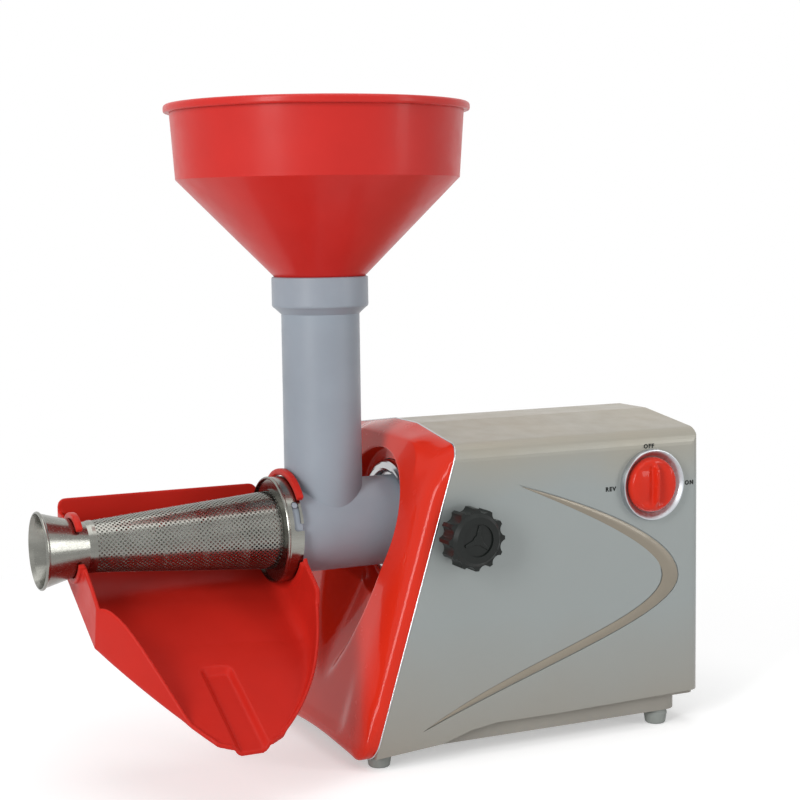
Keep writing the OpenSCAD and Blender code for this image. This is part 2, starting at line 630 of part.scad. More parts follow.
// Rotary switch
module switch_ring() color([0.80, 0.80, 0.80]) translate([switch_x, -half_w, switch_z]) rotate([90, 0, 0])
    rotate_extrude($fn = 96) polygon([[cap_r + 0.6, 0], [ring_r, 0], [ring_r, 0.8], [ring_r - 1.5, 2.4],
        [cap_r + 2, 1.2], [cap_r + 0.6, 1.2]]);
module switch_knob() color([0.82, 0.20, 0.12]) translate([switch_x, -half_w - 0.6, switch_z])
    rotate([90, 0, 0]) difference() {
        union() {
            rotate_extrude($fn = 96) polygon(concat([[0, 0], [cap_r, 0]],
                arc([cap_r - 3, 5], 3, 0, 80, 5), [[0, 9.2]]));
            translate([-3.5, -cap_r + 2.5, 4]) cube([7, 2 * cap_r - 5, 8]);
        }
        translate([0, 0, -1]) cylinder(h = 7, r = 3 + 0.02, $fn = 32);
        translate([-0.6, cap_r - 14, 11.4]) cube([1.2, 12, 2]);
    }
module switch_shaft() color([0.70, 0.70, 0.70]) across(switch_x, switch_z, -half_w - 6, -70, 3);
module switch_body() color([0.25, 0.25, 0.25]) difference() {
    union() {
        box([switch_x - 19, -half_w + shell_t, switch_z - 17], [switch_x + 19, -62, switch_z + 17]);
        for (s = [-1, 1], k = [-1, 1]) box([switch_x + 9 * s - 3, -62, switch_z + 9 * k - 0.4],
            [switch_x + 9 * s + 3, -53, switch_z + 9 * k + 0.4]);
    }
    across(switch_x, switch_z, -half_w, -66, 3 + run_gap);
}

// Cord inlet at the back, without the cord
module cord_gland() color([0.12, 0.12, 0.12]) on_axis([gland_y, gland_z]) difference() {
    union() {
        translate([0, 0, 269]) cylinder(h = 18, r = 8);
        translate([0, 0, 276.2]) cylinder(h = 2.5, r = 11);
        translate([0, 0, 278.6]) cylinder(h = rear_bottom_x + gland_out - 278.6, r1 = 8.5, r2 = 6);
        translate([0, 0, 266.5]) cylinder(h = 3, r = 10.5);
    }
    translate([0, 0, 260]) cylinder(h = 40, r = 3.6);
}

// Gear tooth outlines
function involute(a) = tan(a) * 180 / PI - a;
function half_angle(r, rp, rb, teeth) = 90 / teeth - gear_play / rp * 180 / PI
    + involute(press_angle) - (r > rb ? involute(acos(rb / r)) : 0);
module gear_face(teeth, m, phase) {
    rp = m * teeth / 2;
    rb = rp * cos(press_angle);
    tip = rp + 0.9 * m;
    root = rp - 1.15 * m;
    low = max(rb, root);
    levels = [root, low + 0.25 * (tip - low), low + 0.65 * (tip - low), tip];
    polygon([for (i = [0:teeth - 1], s = [-1, 1], k = [0:3])
        let (r = levels[s < 0 ? k : 3 - k], a = phase + 360 * i / teeth + s * half_angle(r, rp, rb, teeth))
        r * [cos(a), sin(a)]]);
}
// Direction from one shaft to another, in the gears' own plane
function heading(a, b) = atan2(b[0] - a[0], a[1] - b[1]);
function gap_phase(a, b, teeth) = heading(b, a) + 180 / teeth;
module gear(at, x0, width, teeth, m, phase) on_axis(at) translate([0, 0, x0])
    linear_extrude(width) gear_face(teeth, m, phase);

module motor_pinion() color([0.62, 0.60, 0.56]) difference() {
    gear(motor_at, plane_1_x - 1, 11, pinion_teeth, gear_module[0], heading(motor_at, lay_1_at));
    rod(100, 140, motor_shaft_r - 0.5 + 0.01, motor_at);
}
module cluster_gear_1() color([0.90, 0.90, 0.86]) difference() {
    union() {
        gear(lay_1_at, plane_1_x, 9, gear_teeth, gear_module[0], gap_phase(motor_at, lay_1_at, gear_teeth));
        gear(lay_1_at, plane_2_x - 0.5, 14, pinion_teeth, gear_module[1], heading(lay_1_at, lay_2_at));
    }
    rod(90, 140, layshaft_r - 1 + run_gap, lay_1_at);
}
module cluster_gear_2() color([0.90, 0.90, 0.86]) difference() {
    union() {
        gear(lay_2_at, plane_2_x, 11, gear_teeth, gear_module[1],
            gap_phase(lay_1_at, lay_2_at, gear_teeth));
        gear(lay_2_at, plane_3_x, 20, pinion_teeth, gear_module[2], heading(lay_2_at, output_at));
    }
    rod(90, 140, layshaft_r + run_gap, lay_2_at);
}
module output_gear() color([0.55, 0.55, 0.56]) difference() {
    gear(output_at, plane_3_x + 1, 17, output_teeth, gear_module[2],
        gap_phase(lay_2_at, output_at, output_teeth));
    rod(90, 140, output_r + 0.02);
    for (a = [0:60:300]) on_axis() rotate(a + 30) translate([25, 0, 80]) cylinder(h = 40, r = 7);
}
module layshaft(r, at) color([0.72, 0.72, 0.72]) rod(gearbox_x[0] + 0.5, gearbox_x[1] + 2.5, r, at);
module layshaft_1() layshaft(layshaft_r - 1, lay_1_at);
module layshaft_2() layshaft(layshaft_r, lay_2_at);
module output_shaft() color([0.66, 0.66, 0.66]) difference() {
    union() {
        rod(85.5, gearbox_x[1] + 2, output_r);
        rod(85.5, plane_3_x + 0.9, 13);
    }
    on_axis() translate([0, 0, 84]) rotate(45) cylinder(h = 17.5, r = 8.2 + body_gap * 1.2, $fn = 4);
}
module output_bearing() color([0.70, 0.70, 0.72]) difference() {
    rod(gearbox_x[0] - 2, gearbox_x[0] + 4, 19);
    rod(gearbox_x[0] - 3, gearbox_x[0] + 5, 13 + run_gap);
}
module output_bush() color([0.72, 0.56, 0.30]) on_axis() translate([0, 0, 130]) difference() {
    cylinder(h = gearbox_x[1] + 3 - 130, r = 14);
    translate([0, 0, -1]) cylinder(h = 20, r = output_r + run_gap);
}
module gearbox_outline(inset) round_rect([-52 + inset, 48 + inset], [62 - inset, 213 - inset], 22 - inset);
screw_spots = [[-46, 62], [56, 62], [-46, 199], [56, 199]];
module gearbox_case() color([0.66, 0.67, 0.68]) difference() {
    union() {
        difference() {
            yz_plate(gearbox_x[0], gearbox_x[1]) gearbox_outline(0);
            yz_plate(gearbox_x[0] + 4, gearbox_x[1] + 1) gearbox_outline(3);
        }
        for (p = screw_spots) rod(gearbox_x[0] + 1, gearbox_x[1], 5, p);
        for (y = [-40, 40]) box([96, y - 9, plinth_z + tray_t], [122, y + 9, 56]);
    }
    rod(80, 100, 19.02);
    rod(gearbox_x[0] + 0.5, 100, layshaft_r - 1 + 0.01, lay_1_at);
    rod(gearbox_x[0] + 0.5, 100, layshaft_r + 0.01, lay_2_at);
    for (p = screw_spots) rod(110, 140, screw_hole_r, p);
    on_bolts(80, socket_bolt_at) cylinder(h = 20, r = screw_hole_r, $fn = 24);
}
module gearbox_cover() color([0.66, 0.67, 0.68]) difference() {
    yz_plate(gearbox_x[1], gearbox_x[1] + 3) gearbox_outline(0);
    rod(130, 145, 14.02);
    rod(130, gearbox_x[1] + 2.5, layshaft_r - 1 + 0.01, lay_1_at);
    rod(130, gearbox_x[1] + 2.5, layshaft_r + 0.01, lay_2_at);
    rod(130, 145, 7.5, motor_at);
    for (p = screw_spots) rod(130, 145, 2.1, p);
}
module gearbox_screws() color([0.6, 0.6, 0.6]) for (p = screw_spots) {
    rod(118, gearbox_x[1] + 3, 2, p);
    rod(gearbox_x[1] + 3, gearbox_x[1] + 5.5, 3.8, p);
}

// Motor
module motor_shaft() color([0.72, 0.72, 0.72]) union() {
    rod(plane_1_x - 1, 141, motor_shaft_r - 0.5, motor_at);
    rod(141, 252, motor_shaft_r, motor_at);
}
module motor_armature() color([0.55, 0.45, 0.40]) difference() {
    union() {
        difference() {
            rod(156, 202, armature_r, motor_at);
            for (a = [0:30:330]) on_axis(motor_at) rotate(a) translate([armature_r - 7, -1.1, 150])
                cube([9, 2.2, 60]);
        }
        turned([[0, 150], [14, 150], [18, 152], [18, 208], [14, 210], [0, 210]], motor_at);
    }
    rod(140, 220, motor_shaft_r + 0.01, motor_at);
}
module commutator() color([0.76, 0.50, 0.30]) difference() {
    rod(211, 226, 11.5, motor_at);
    rod(200, 230, motor_shaft_r + 0.01, motor_at);
    for (a = [0:30:330]) on_axis(motor_at) rotate(a + 15) translate([10.2, -0.4, 205]) cube([3, 0.8, 30]);
}
module cooling_fan() color([0.15, 0.15, 0.16]) difference() {
    union() {
        rod(241, 243, 38, motor_at);
        rod(241, 251, 9, motor_at);
        for (a = [0:40:320]) on_axis(motor_at) rotate(a) translate([8, -0.8, 242]) cube([29, 1.6, 8.5]);
    }
    rod(230, 260, motor_shaft_r + 0.01, motor_at);
}
module motor_stator() color([0.45, 0.46, 0.50]) difference() {
    rod(stator_x[0], stator_x[1], stator_r, motor_at);
    rod(140, 210, armature_r + 0.6, motor_at);
    for (s = [-1, 1], k = [-1, 1]) on_axis(motor_at) rotate(s * 90 + k * 52) translate([22, -5, 140])
        cube([12, 10, 80]);
    on_bolts(140, motor_bolt_at, motor_at) cylinder(h = 80, r = screw_hole_r, $fn = 24);
}
module field_coils() color([0.70, 0.36, 0.18]) for (s = [-1, 1]) on_axis(motor_at) rotate(s * 90) {
    for (k = [-1, 1]) rotate(k * 52) translate([24.6, -4.7, 144]) cube([9, 9.4, 65]);
    for (x = [144, 204.2]) translate([0, 0, x]) rotate(-55) rotate_extrude(angle = 110)
        polygon([[25, 0], [33.4, 0], [33.4, 4.8], [25, 4.8]]);
}
module motor_bracket_front() color([0.66, 0.67, 0.68]) difference() {
    rod(bracket_front_x, stator_x[0], 44, motor_at);
    difference() {
        rod(bracket_front_x + 3, stator_x[0] + 1, 41, motor_at);
        rod(130, 150, 14, motor_at);
        on_bolts(130, motor_bolt_at, motor_at) cylinder(h = 40, r = 4);
    }
    rod(130, 150, 7.5, motor_at);
    rod(stator_x[0] - bearing_w, 150, bearing_r + 0.01, motor_at);
    on_bolts(141, motor_bolt_at, motor_at) cylinder(h = 20, r = screw_hole_r, $fn = 24);
}
module motor_bracket_rear() color([0.66, 0.67, 0.68]) difference() {
    union() {
        rod(stator_x[1], bracket_rear_x, 44, motor_at);
        box([226, -18, plinth_z + tray_t], [bracket_rear_x, 18, 50]);
    }
    difference() {
        rod(stator_x[1] - 1, bracket_rear_x - 4, 41, motor_at);
        rod(229, 245, 14, motor_at);
        on_bolts(200, motor_bolt_at, motor_at) cylinder(h = 40, r = 4);
    }
    rod(220, 245, 7.5, motor_at);
    rod(220, bracket_rear_x - 4, bearing_r + 0.01, motor_at);
    for (s = [-1, 1]) box([212, s * 42 - 8, 82.5], [226, s * 42 + 8, 93.5]);
    on_bolts(200, motor_bolt_at, motor_at) cylinder(h = 45, r = screw_hole_r, $fn = 24);
}
module ball_bearing(x0) on_axis(motor_at) translate([0, 0, x0]) difference() {
    cylinder(h = bearing_w, r = bearing_r);
    translate([0, 0, -1]) cylinder(h = bearing_w + 2, r = motor_shaft_r + 0.03);
    for (z = [-1, bearing_w - 0.8]) translate([0, 0, z]) rotate_extrude()
        polygon([[6, 0], [9, 0], [9, 1.8], [6, 1.8]]);
}
module motor_bearing_front() color([0.75, 0.75, 0.77]) ball_bearing(stator_x[0] - bearing_w);
module motor_bearing_rear() color([0.75, 0.75, 0.77]) ball_bearing(229);
module brush_holders() color([0.30, 0.22, 0.14]) for (s = [-1, 1]) difference() {
    box([212.2, s > 0 ? 16 : -47, 82.7], [225.8, s > 0 ? 47 : -16, 93.3]);
    box([215, s > 0 ? 14 : -44, 84.5], [223, s > 0 ? 44 : -14, 91.5]);
}
module carbon_brushes() color([0.2, 0.2, 0.2]) for (s = [-1, 1])
    box([215.1, s > 0 ? 11.9 : -30, 84.6], [222.9, s > 0 ? 30 : -11.9, 91.4]);
module motor_bolts() color([0.6, 0.6, 0.6]) on_bolts(142, motor_bolt_at, motor_at) {
    cylinder(h = bracket_rear_x - 142, r = 2, $fn = 24);
    translate([0, 0, bracket_rear_x - 142]) cylinder(h = 0.9, r = 3.6, $fn = 24);
}

in_frame() funnel();
in_frame() head_casting();
in_frame() auger();
in_frame() auger_bush();
in_frame() flange_seal();
in_frame() strainer_screen();
in_frame() strainer_flange();
in_frame() outlet_cone();
in_frame() chute();
in_frame() front_bezel();
in_frame() housing_shell();
in_frame() base_tray();
in_frame() foot(foot_x[0], -foot_y);  // foot_front_near
in_frame() foot(foot_x[0], foot_y);  // foot_front_far
in_frame() foot(foot_x[1], -foot_y);  // foot_rear_near
in_frame() foot(foot_x[1], foot_y);  // foot_rear_far
in_frame() foot_screws();
in_frame() base_screws();
in_frame() head_socket();
in_frame() socket_screws();
in_frame() lock_insert();
in_frame() lock_stud();
in_frame() lock_knob();
in_frame() switch_ring();
in_frame() switch_knob();
in_frame() switch_shaft();
in_frame() switch_body();
in_frame() cord_gland();
in_frame() gearbox_case();
in_frame() gearbox_cover();
in_frame() gearbox_screws();
in_frame() layshaft_1();
in_frame() cluster_gear_1();
in_frame() layshaft_2();
in_frame() cluster_gear_2();
in_frame() output_gear();
in_frame() output_shaft();
in_frame() output_bearing();
in_frame() output_bush();
in_frame() motor_pinion();
in_frame() motor_shaft();
in_frame() motor_armature();
in_frame() commutator();
in_frame() cooling_fan();
in_frame() motor_stator();
in_frame() field_coils();
in_frame() motor_bracket_front();
in_frame() motor_bracket_rear();
in_frame() motor_bearing_front();
in_frame() motor_bearing_rear();
in_frame() brush_holders();
in_frame() carbon_brushes();
in_frame() motor_bolts();
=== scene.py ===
"""Electric tomato press: the finish of every surface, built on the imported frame."""
import json
import math

import bmesh
import bpy
from mathutils import Matrix, Vector

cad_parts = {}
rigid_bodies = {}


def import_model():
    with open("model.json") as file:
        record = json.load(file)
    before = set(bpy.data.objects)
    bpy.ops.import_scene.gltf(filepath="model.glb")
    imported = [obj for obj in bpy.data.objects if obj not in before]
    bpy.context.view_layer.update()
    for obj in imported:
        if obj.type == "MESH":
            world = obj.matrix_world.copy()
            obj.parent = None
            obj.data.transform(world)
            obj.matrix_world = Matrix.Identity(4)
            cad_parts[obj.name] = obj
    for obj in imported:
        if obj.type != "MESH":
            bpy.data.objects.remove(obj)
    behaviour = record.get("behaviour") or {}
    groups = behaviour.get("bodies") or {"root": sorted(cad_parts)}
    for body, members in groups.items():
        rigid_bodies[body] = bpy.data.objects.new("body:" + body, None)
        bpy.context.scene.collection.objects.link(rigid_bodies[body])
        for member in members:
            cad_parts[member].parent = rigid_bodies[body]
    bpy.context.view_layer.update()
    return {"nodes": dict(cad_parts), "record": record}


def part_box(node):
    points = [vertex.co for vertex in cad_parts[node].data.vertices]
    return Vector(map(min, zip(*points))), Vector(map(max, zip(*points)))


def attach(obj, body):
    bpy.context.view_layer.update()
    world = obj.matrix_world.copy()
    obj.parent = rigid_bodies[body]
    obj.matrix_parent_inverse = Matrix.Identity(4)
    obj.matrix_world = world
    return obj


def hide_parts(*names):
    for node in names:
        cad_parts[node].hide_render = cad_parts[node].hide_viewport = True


MM = 0.001


# Placing: working millimetres have X = 0 on the feed tube, Y = 0 in the middle plane
def tube_foot():
    low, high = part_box("funnel")
    return Vector(((low.x + high.x) / 2, (low.y + high.y) / 2, 0))


def drive_height():
    low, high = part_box("auger_bush")
    return (low.z + high.z) / 2 / MM


def at(x, y, z):
    return FOOT + Vector((x, y, z)) * MM


# Numbers and curves
def mix(a, b, t):
    return a + (b - a) * t


def clamp(value, low, high):
    return max(low, min(high, value))


def smoothstep(low, high, value):
    t = clamp((value - low) / (high - low), 0, 1)
    return t * t * (3 - 2 * t)


def arc(centre, radius, start, end, steps=8):
    angles = [math.radians(mix(start, end, i / steps)) for i in range(steps + 1)]
    return [(centre[0] + radius * math.cos(a), centre[1] + radius * math.sin(a)) for a in angles]


def bend(points, t):
    """Point on a cubic curve through any number of coordinates."""
    weights = ((1 - t) ** 3, 3 * t * (1 - t) ** 2, 3 * t * t * (1 - t), t ** 3)
    return [sum(w * p[i] for w, p in zip(weights, points)) for i in range(len(points[0]))]


def split(a, b, steps):
    """Points between a and b, without those two."""
    return [(mix(a[0], b[0], i / steps), mix(a[1], b[1], i / steps)) for i in range(1, steps)]


def mirrored(points):
    """A closed outline from its half with Y at or above 0, from the bottom to the top."""
    return points + [(-y, z) for y, z in reversed(points) if y > 0]


# Parts of materials
def srgb(r, g, b):
    def linear(c):
        c = c / 255
        return c / 12.92 if c <= 0.04045 else ((c + 0.055) / 1.055) ** 2.4
    return (linear(r), linear(g), linear(b), 1)


def shade(color, factor):
    return (color[0] * factor, color[1] * factor, color[2] * factor, 1)


def new_material(name):
    material = bpy.data.materials.new(name)
    material.use_nodes = True
    nodes = material.node_tree.nodes
    return material, nodes, material.node_tree.links, nodes["Principled BSDF"]


def object_point(nodes, links, stretch=(1, 1, 1)):
    coordinates = nodes.new("ShaderNodeTexCoord")
    mapping = nodes.new("ShaderNodeMapping")
    mapping.inputs["Scale"].default_value = stretch
    links.new(coordinates.outputs["Object"], mapping.inputs["Vector"])
    return mapping.outputs["Vector"]


def noise(nodes, links, point, scale, detail=3.0, roughness=0.55):
    texture = nodes.new("ShaderNodeTexNoise")
    texture.inputs["Scale"].default_value = scale
    texture.inputs["Detail"].default_value = detail
    texture.inputs["Roughness"].default_value = roughness
    links.new(point, texture.inputs["Vector"])
    return texture.outputs["Fac"]


# A noise texture's values lie mostly between these two
NOISE_LOW = 0.3
NOISE_HIGH = 0.7


def ramp(nodes, links, value, low, high):
    node = nodes.new("ShaderNodeValToRGB")
    node.color_ramp.elements[0].position = NOISE_LOW
    node.color_ramp.elements[1].position = NOISE_HIGH
    node.color_ramp.elements[0].color = low
    node.color_ramp.elements[1].color = high
    links.new(value, node.inputs["Fac"])
    return node.outputs["Color"]


def spread(nodes, links, value, low, high):
    node = nodes.new("ShaderNodeMapRange")
    node.inputs["From Min"].default_value = NOISE_LOW
    node.inputs["From Max"].default_value = NOISE_HIGH
    node.inputs["To Min"].default_value = low
    node.inputs["To Max"].default_value = high
    links.new(value, node.inputs["Value"])
    return node.outputs["Result"]


def bump(nodes, links, shader, value, strength, distance):
    node = nodes.new("ShaderNodeBump")
    node.inputs["Strength"].default_value = strength
    node.inputs["Distance"].default_value = distance
    links.new(value, node.inputs["Height"])
    links.new(node.outputs["Normal"], shader.inputs["Normal"])


# Materials: scales are per metre, depths are metres
FLOW_SCALE = 14
GLOSS_SCALE = 60
SKIN_STRENGTH = 0.35
STAIN_SCALE = 25
LINE_STRENGTH = 0.3
CLOUD_SCALE = 9
CLOUD_HEIGHT = 0.05


def moulded(name, color, rough, gloss=0.0, tone=0.06, grain=900, depth=0.00004, coat_rough=0.06,
            shine=0.2, metallic=0.0):
    """Moulded plastic: faint flow marks in the colour, uneven gloss and a fine skin."""
    material, nodes, links, shader = new_material(name)
    point = object_point(nodes, links)
    flow = noise(nodes, links, point, FLOW_SCALE, 4)
    links.new(ramp(nodes, links, flow, shade(color, 1 - tone), shade(color, 1 + tone)),
              shader.inputs["Base Color"])
    marks = noise(nodes, links, point, GLOSS_SCALE, 5)
    links.new(spread(nodes, links, marks, rough * 0.85, rough * 1.2), shader.inputs["Roughness"])
    bump(nodes, links, shader, noise(nodes, links, point, grain, 2), SKIN_STRENGTH, depth)
    shader.inputs["Coat Weight"].default_value = gloss
    shader.inputs["Coat Roughness"].default_value = coat_rough
    shader.inputs["Specular IOR Level"].default_value = shine
    shader.inputs["Metallic"].default_value = metallic
    return material


def metal(name, color, rough, stretch=(1, 1, 1), grain=400, depth=0.00003, tone=0.05,
          streak=(1, 1, 1)):
    """Metal: fine lines or casting skin, with a slightly uneven polish."""
    material, nodes, links, shader = new_material(name)
    lines = noise(nodes, links, object_point(nodes, links, stretch), grain, 3)
    stains = noise(nodes, links, object_point(nodes, links, streak), STAIN_SCALE, 4)
    links.new(ramp(nodes, links, stains, shade(color, 1 - tone), shade(color, 1 + tone)),
              shader.inputs["Base Color"])
    links.new(spread(nodes, links, lines, rough * 0.75, rough * 1.3), shader.inputs["Roughness"])
    bump(nodes, links, shader, lines, LINE_STRENGTH, depth)
    shader.inputs["Metallic"].default_value = 1.0
    return material


def rubber(name, color):
    material = moulded(name, color, 0.75, 0, 0.1, 500, 0.0001)
    material.node_tree.nodes["Principled BSDF"].inputs["Sheen Weight"].default_value = 0.1
    return material


def lacquered(name, color):
    """Glossy lacquer whose weak mirror keeps the colour deep at flat angles."""
    material = moulded(name, color, 0.24, 0.5, tone=0.03, coat_rough=0.03, shine=0.08)
    material.node_tree.nodes["Principled BSDF"].inputs["Coat IOR"].default_value = 1.28
    return material


# Heights in metres between which the shell's tones run, and the tones from hem to roof: the cool middle is
# the lacquer's own colour, the warmer tones near hem and roof, lighter at the roof, are painted reflection
# and painted light
SHELL_HEM = 0.025
SHELL_ROOF = 0.265
SHELL_TONES_WITH_PAINTED_REFLECTION = ((0, (146, 140, 130)), (0.1, (148, 145, 137)), (0.42, (149, 155, 154)),
               (0.78, (150, 156, 155)), (1, (160, 153, 137)))


def champagne(name):
    """Metallic lacquer of the shell, cool in the middle of its height, with painted reflection and painted
    light that warm it near roof and hem.
    """
    material = moulded(name, srgb(150, 155, 154), 0.4, 0.2, coat_rough=0.2, shine=0.3, metallic=0.3)
    nodes, links = material.node_tree.nodes, material.node_tree.links
    point = object_point(nodes, links)
    height = nodes.new("ShaderNodeSeparateXYZ")
    links.new(point, height.inputs["Vector"])
    uneven = nodes.new("ShaderNodeMath")
    uneven.operation = "MULTIPLY_ADD"
    uneven.inputs[1].default_value = CLOUD_HEIGHT
    links.new(noise(nodes, links, point, CLOUD_SCALE, 2), uneven.inputs[0])
    links.new(height.outputs["Z"], uneven.inputs[2])
    share = nodes.new("ShaderNodeMapRange")
    share.inputs["From Min"].default_value = SHELL_HEM
    share.inputs["From Max"].default_value = SHELL_ROOF
    links.new(uneven.outputs[0], share.inputs["Value"])
    # Ramp from the lacquer's cool colour to the painted reflection near roof and hem
    tones = nodes.new("ShaderNodeValToRGB")
    stops = tones.color_ramp.elements
    for position, color in SHELL_TONES_WITH_PAINTED_REFLECTION[1:-1]:
        stops.new(position)
    for stop, (position, color) in zip(stops, SHELL_TONES_WITH_PAINTED_REFLECTION):
        stop.color = srgb(*color)
    links.new(share.outputs["Result"], tones.inputs["Fac"])
    links.new(tones.outputs["Color"], nodes["Principled BSDF"].inputs["Base Color"])
    return material


def make_materials():
    return {
        "funnel_red": moulded("funnel_red", srgb(198, 40, 34), 0.36, 0.12, coat_rough=0.15),
        "chute_red": moulded("chute_red", srgb(192, 38, 28), 0.38, 0.05, coat_rough=0.2, shine=0.1),
        "bezel_red": lacquered("bezel_red", srgb(214, 46, 26)),
        "head_grey": moulded("head_grey", srgb(146, 155, 165), 0.42, 0.1, coat_rough=0.25, shine=0.35),
        "shell_silver": champagne("shell_silver"),
        # Browner colour of the wave band: painted reflection of the surroundings
        "wave_painted_reflection": moulded("wave_painted_reflection", srgb(140, 132, 118), 0.35, 0.2, shine=0.3, metallic=0.3),
        "auger_white": moulded("auger_white", srgb(226, 226, 218), 0.45),
        "bronze": metal("bronze", srgb(178, 130, 74), 0.3),
        "seal_rubber": rubber("seal_rubber", srgb(40, 40, 40)),
        "stainless": metal("stainless", srgb(136, 136, 130), 0.22, (1, 30, 30), 60, 0.000006, tone=0.25,
                           streak=(0.2, 2.5, 2.5)),
        "base_grey": moulded("base_grey", srgb(150, 146, 138), 0.5, shine=0.3),
        "foot_rubber": rubber("foot_rubber", srgb(146, 150, 146)),
        "zinc_steel": metal("zinc_steel", srgb(190, 190, 194), 0.3),
        "polished_aluminium": metal("polished_aluminium", srgb(190, 190, 192), 0.16, grain=300),
        "cast_aluminium": metal("cast_aluminium", srgb(170, 172, 174), 0.5, depth=0.0001),
        "brass_insert": metal("brass_insert", srgb(200, 160, 84), 0.25),
        "black_plastic": moulded("black_plastic", srgb(21, 25, 23), 0.34, 0.15, coat_rough=0.1),
        "chrome_ring": metal("chrome_ring", srgb(184, 188, 192), 0.38),
        "gear_nylon": moulded("gear_nylon", srgb(226, 222, 206), 0.45),
        "gear_steel": metal("gear_steel", srgb(140, 140, 144), 0.32),
        "lamination": metal("lamination", srgb(110, 114, 124), 0.45, (20, 1, 1), 200),
        "copper": metal("copper", srgb(178, 98, 56), 0.3, grain=250, depth=0.0001),
        "carbon": moulded("carbon", srgb(34, 34, 36), 0.7),
    }


def dress_frame():
    slots = {part["node"]: part["material_slot"] for part in frame["record"]["subparts"]}
    for name, node in frame["nodes"].items():
        node.data.materials.clear()
        node.data.materials.append(materials[slots[name]])


# Light and floor: lamps as name, place, size and watts, in metres
LAMPS = (("window_left", (-2.2, -1.4, 1.1), (0.7, 1.5), 42),
         ("window_right", (1.9, -1.9, 1.0), (0.5, 1.5), 14),
         ("ceiling", (0, 0, 2.4), (2.2, 2.2), 22))
LAMP_TARGET = (0, 0, 0.2)
WORLD_LEVEL = 0.36
FLOOR_SIZE = 30
FLOOR_COLOR = (0.8, 0.8, 0.8)
FLOOR_LIFT = 0.42
FLOOR_NEAR = 0.3
FLOOR_FAR = 0.75


def seen(nodes, links, hidden, shown):
    """One level for the rays that light the scene, another for those that show it."""
    path = nodes.new("ShaderNodeLightPath")
    total = path.outputs["Is Camera Ray"]
    for ray in ("Is Glossy Ray", "Is Transmission Ray"):
        node = nodes.new("ShaderNodeMath")
        node.operation = "MAXIMUM"
        links.new(total, node.inputs[0])
        links.new(path.outputs[ray], node.inputs[1])
        total = node.outputs[0]
    level = nodes.new("ShaderNodeMapRange")
    level.inputs["To Min"].default_value = hidden
    level.inputs["To Max"].default_value = shown
    links.new(total, level.inputs["Value"])
    return level.outputs["Result"]


def add_lamp(name, place, size, power):
    data = bpy.data.lights.new(name, "AREA")
    data.shape = "RECTANGLE"
    data.size = size[0]
    data.size_y = size[1]
    data.energy = power
    lamp = bpy.data.objects.new(name, data)
    bpy.context.scene.collection.objects.link(lamp)
    lamp.location = place
    lamp.rotation_euler = (Vector(LAMP_TARGET) - Vector(place)).to_track_quat("-Z", "Y").to_euler()


def add_light():
    for name, place, size, power in LAMPS:
        add_lamp(name, place, size, power)
    world = bpy.data.worlds.new("studio")
    bpy.context.scene.world = world
    world.use_nodes = True
    nodes, links = world.node_tree.nodes, world.node_tree.links
    background = nodes["Background"]
    links.new(seen(nodes, links, WORLD_LEVEL, 1.0), background.inputs["Strength"])
    background.inputs["Color"].default_value = (1, 1, 1, 1)


def add_floor():
    """White paper: shadowed near the object, and as bright as the backdrop further out."""
    bpy.ops.mesh.primitive_plane_add(size=FLOOR_SIZE, location=(0, 0, 0))
    floor = bpy.context.object
    floor.name = "floor"
    material, nodes, links, shader = new_material("floor_paper")
    shader.inputs["Base Color"].default_value = (*FLOOR_COLOR, 1)
    shader.inputs["Roughness"].default_value = 0.9
    shader.inputs["Specular IOR Level"].default_value = 0.0
    shader.inputs["Emission Color"].default_value = (1, 1, 1, 1)
    links.new(seen(nodes, links, 0.0, FLOOR_LIFT), shader.inputs["Emission Strength"])
    length = nodes.new("ShaderNodeVectorMath")
    length.operation = "LENGTH"
    links.new(object_point(nodes, links), length.inputs[0])
    far = nodes.new("ShaderNodeMapRange")
    far.interpolation_type = "SMOOTHSTEP"
    far.inputs["From Min"].default_value = FLOOR_NEAR
    far.inputs["From Max"].default_value = FLOOR_FAR
    links.new(length.outputs["Value"], far.inputs["Value"])
    share = nodes.new("ShaderNodeMath")
    share.operation = "MULTIPLY"
    links.new(far.outputs["Result"], share.inputs[0])
    links.new(seen(nodes, links, 0.0, 1.0), share.inputs[1])
    glow = nodes.new("ShaderNodeEmission")
    blend = nodes.new("ShaderNodeMixShader")
    links.new(share.outputs[0], blend.inputs["Fac"])
    links.new(shader.outputs["BSDF"], blend.inputs[1])
    links.new(glow.outputs["Emission"], blend.inputs[2])
    links.new(blend.outputs["Shader"], nodes["Material Output"].inputs["Surface"])
    floor.data.materials.append(material)


# Camera fitted to the photograph, as millimetres in the working frame and degrees
CAMERA_AT = (-498.9, -1192.4, 391.8)
CAMERA_YAW = 25.28
CAMERA_PITCH = 5.91
CAMERA_ROLL = 0.75
FOCAL_PIXELS = 1744.5
IMAGE_PIXELS = 800
SENSOR = 36


def add_camera():
    yaw, pitch, roll = [math.radians(a) for a in (CAMERA_YAW, CAMERA_PITCH, CAMERA_ROLL)]
    ahead = Vector((math.sin(yaw) * math.cos(pitch), math.cos(yaw) * math.cos(pitch), -math.sin(pitch)))
    right = Vector((math.cos(yaw), -math.sin(yaw), 0))
    up = right.cross(ahead)
    tilted_right = right * math.cos(roll) - up * math.sin(roll)
    tilted_up = right * math.sin(roll) + up * math.cos(roll)
    data = bpy.data.cameras.new("camera")
    data.sensor_width = SENSOR
    data.lens = FOCAL_PIXELS * SENSOR / IMAGE_PIXELS
    camera = bpy.data.objects.new("camera", data)
    bpy.context.scene.collection.objects.link(camera)
    turn = Matrix((tilted_right, tilted_up, -ahead)).transposed().to_4x4()
    camera.matrix_world = Matrix.Translation(at(*CAMERA_AT)) @ turn
    bpy.context.scene.camera = camera


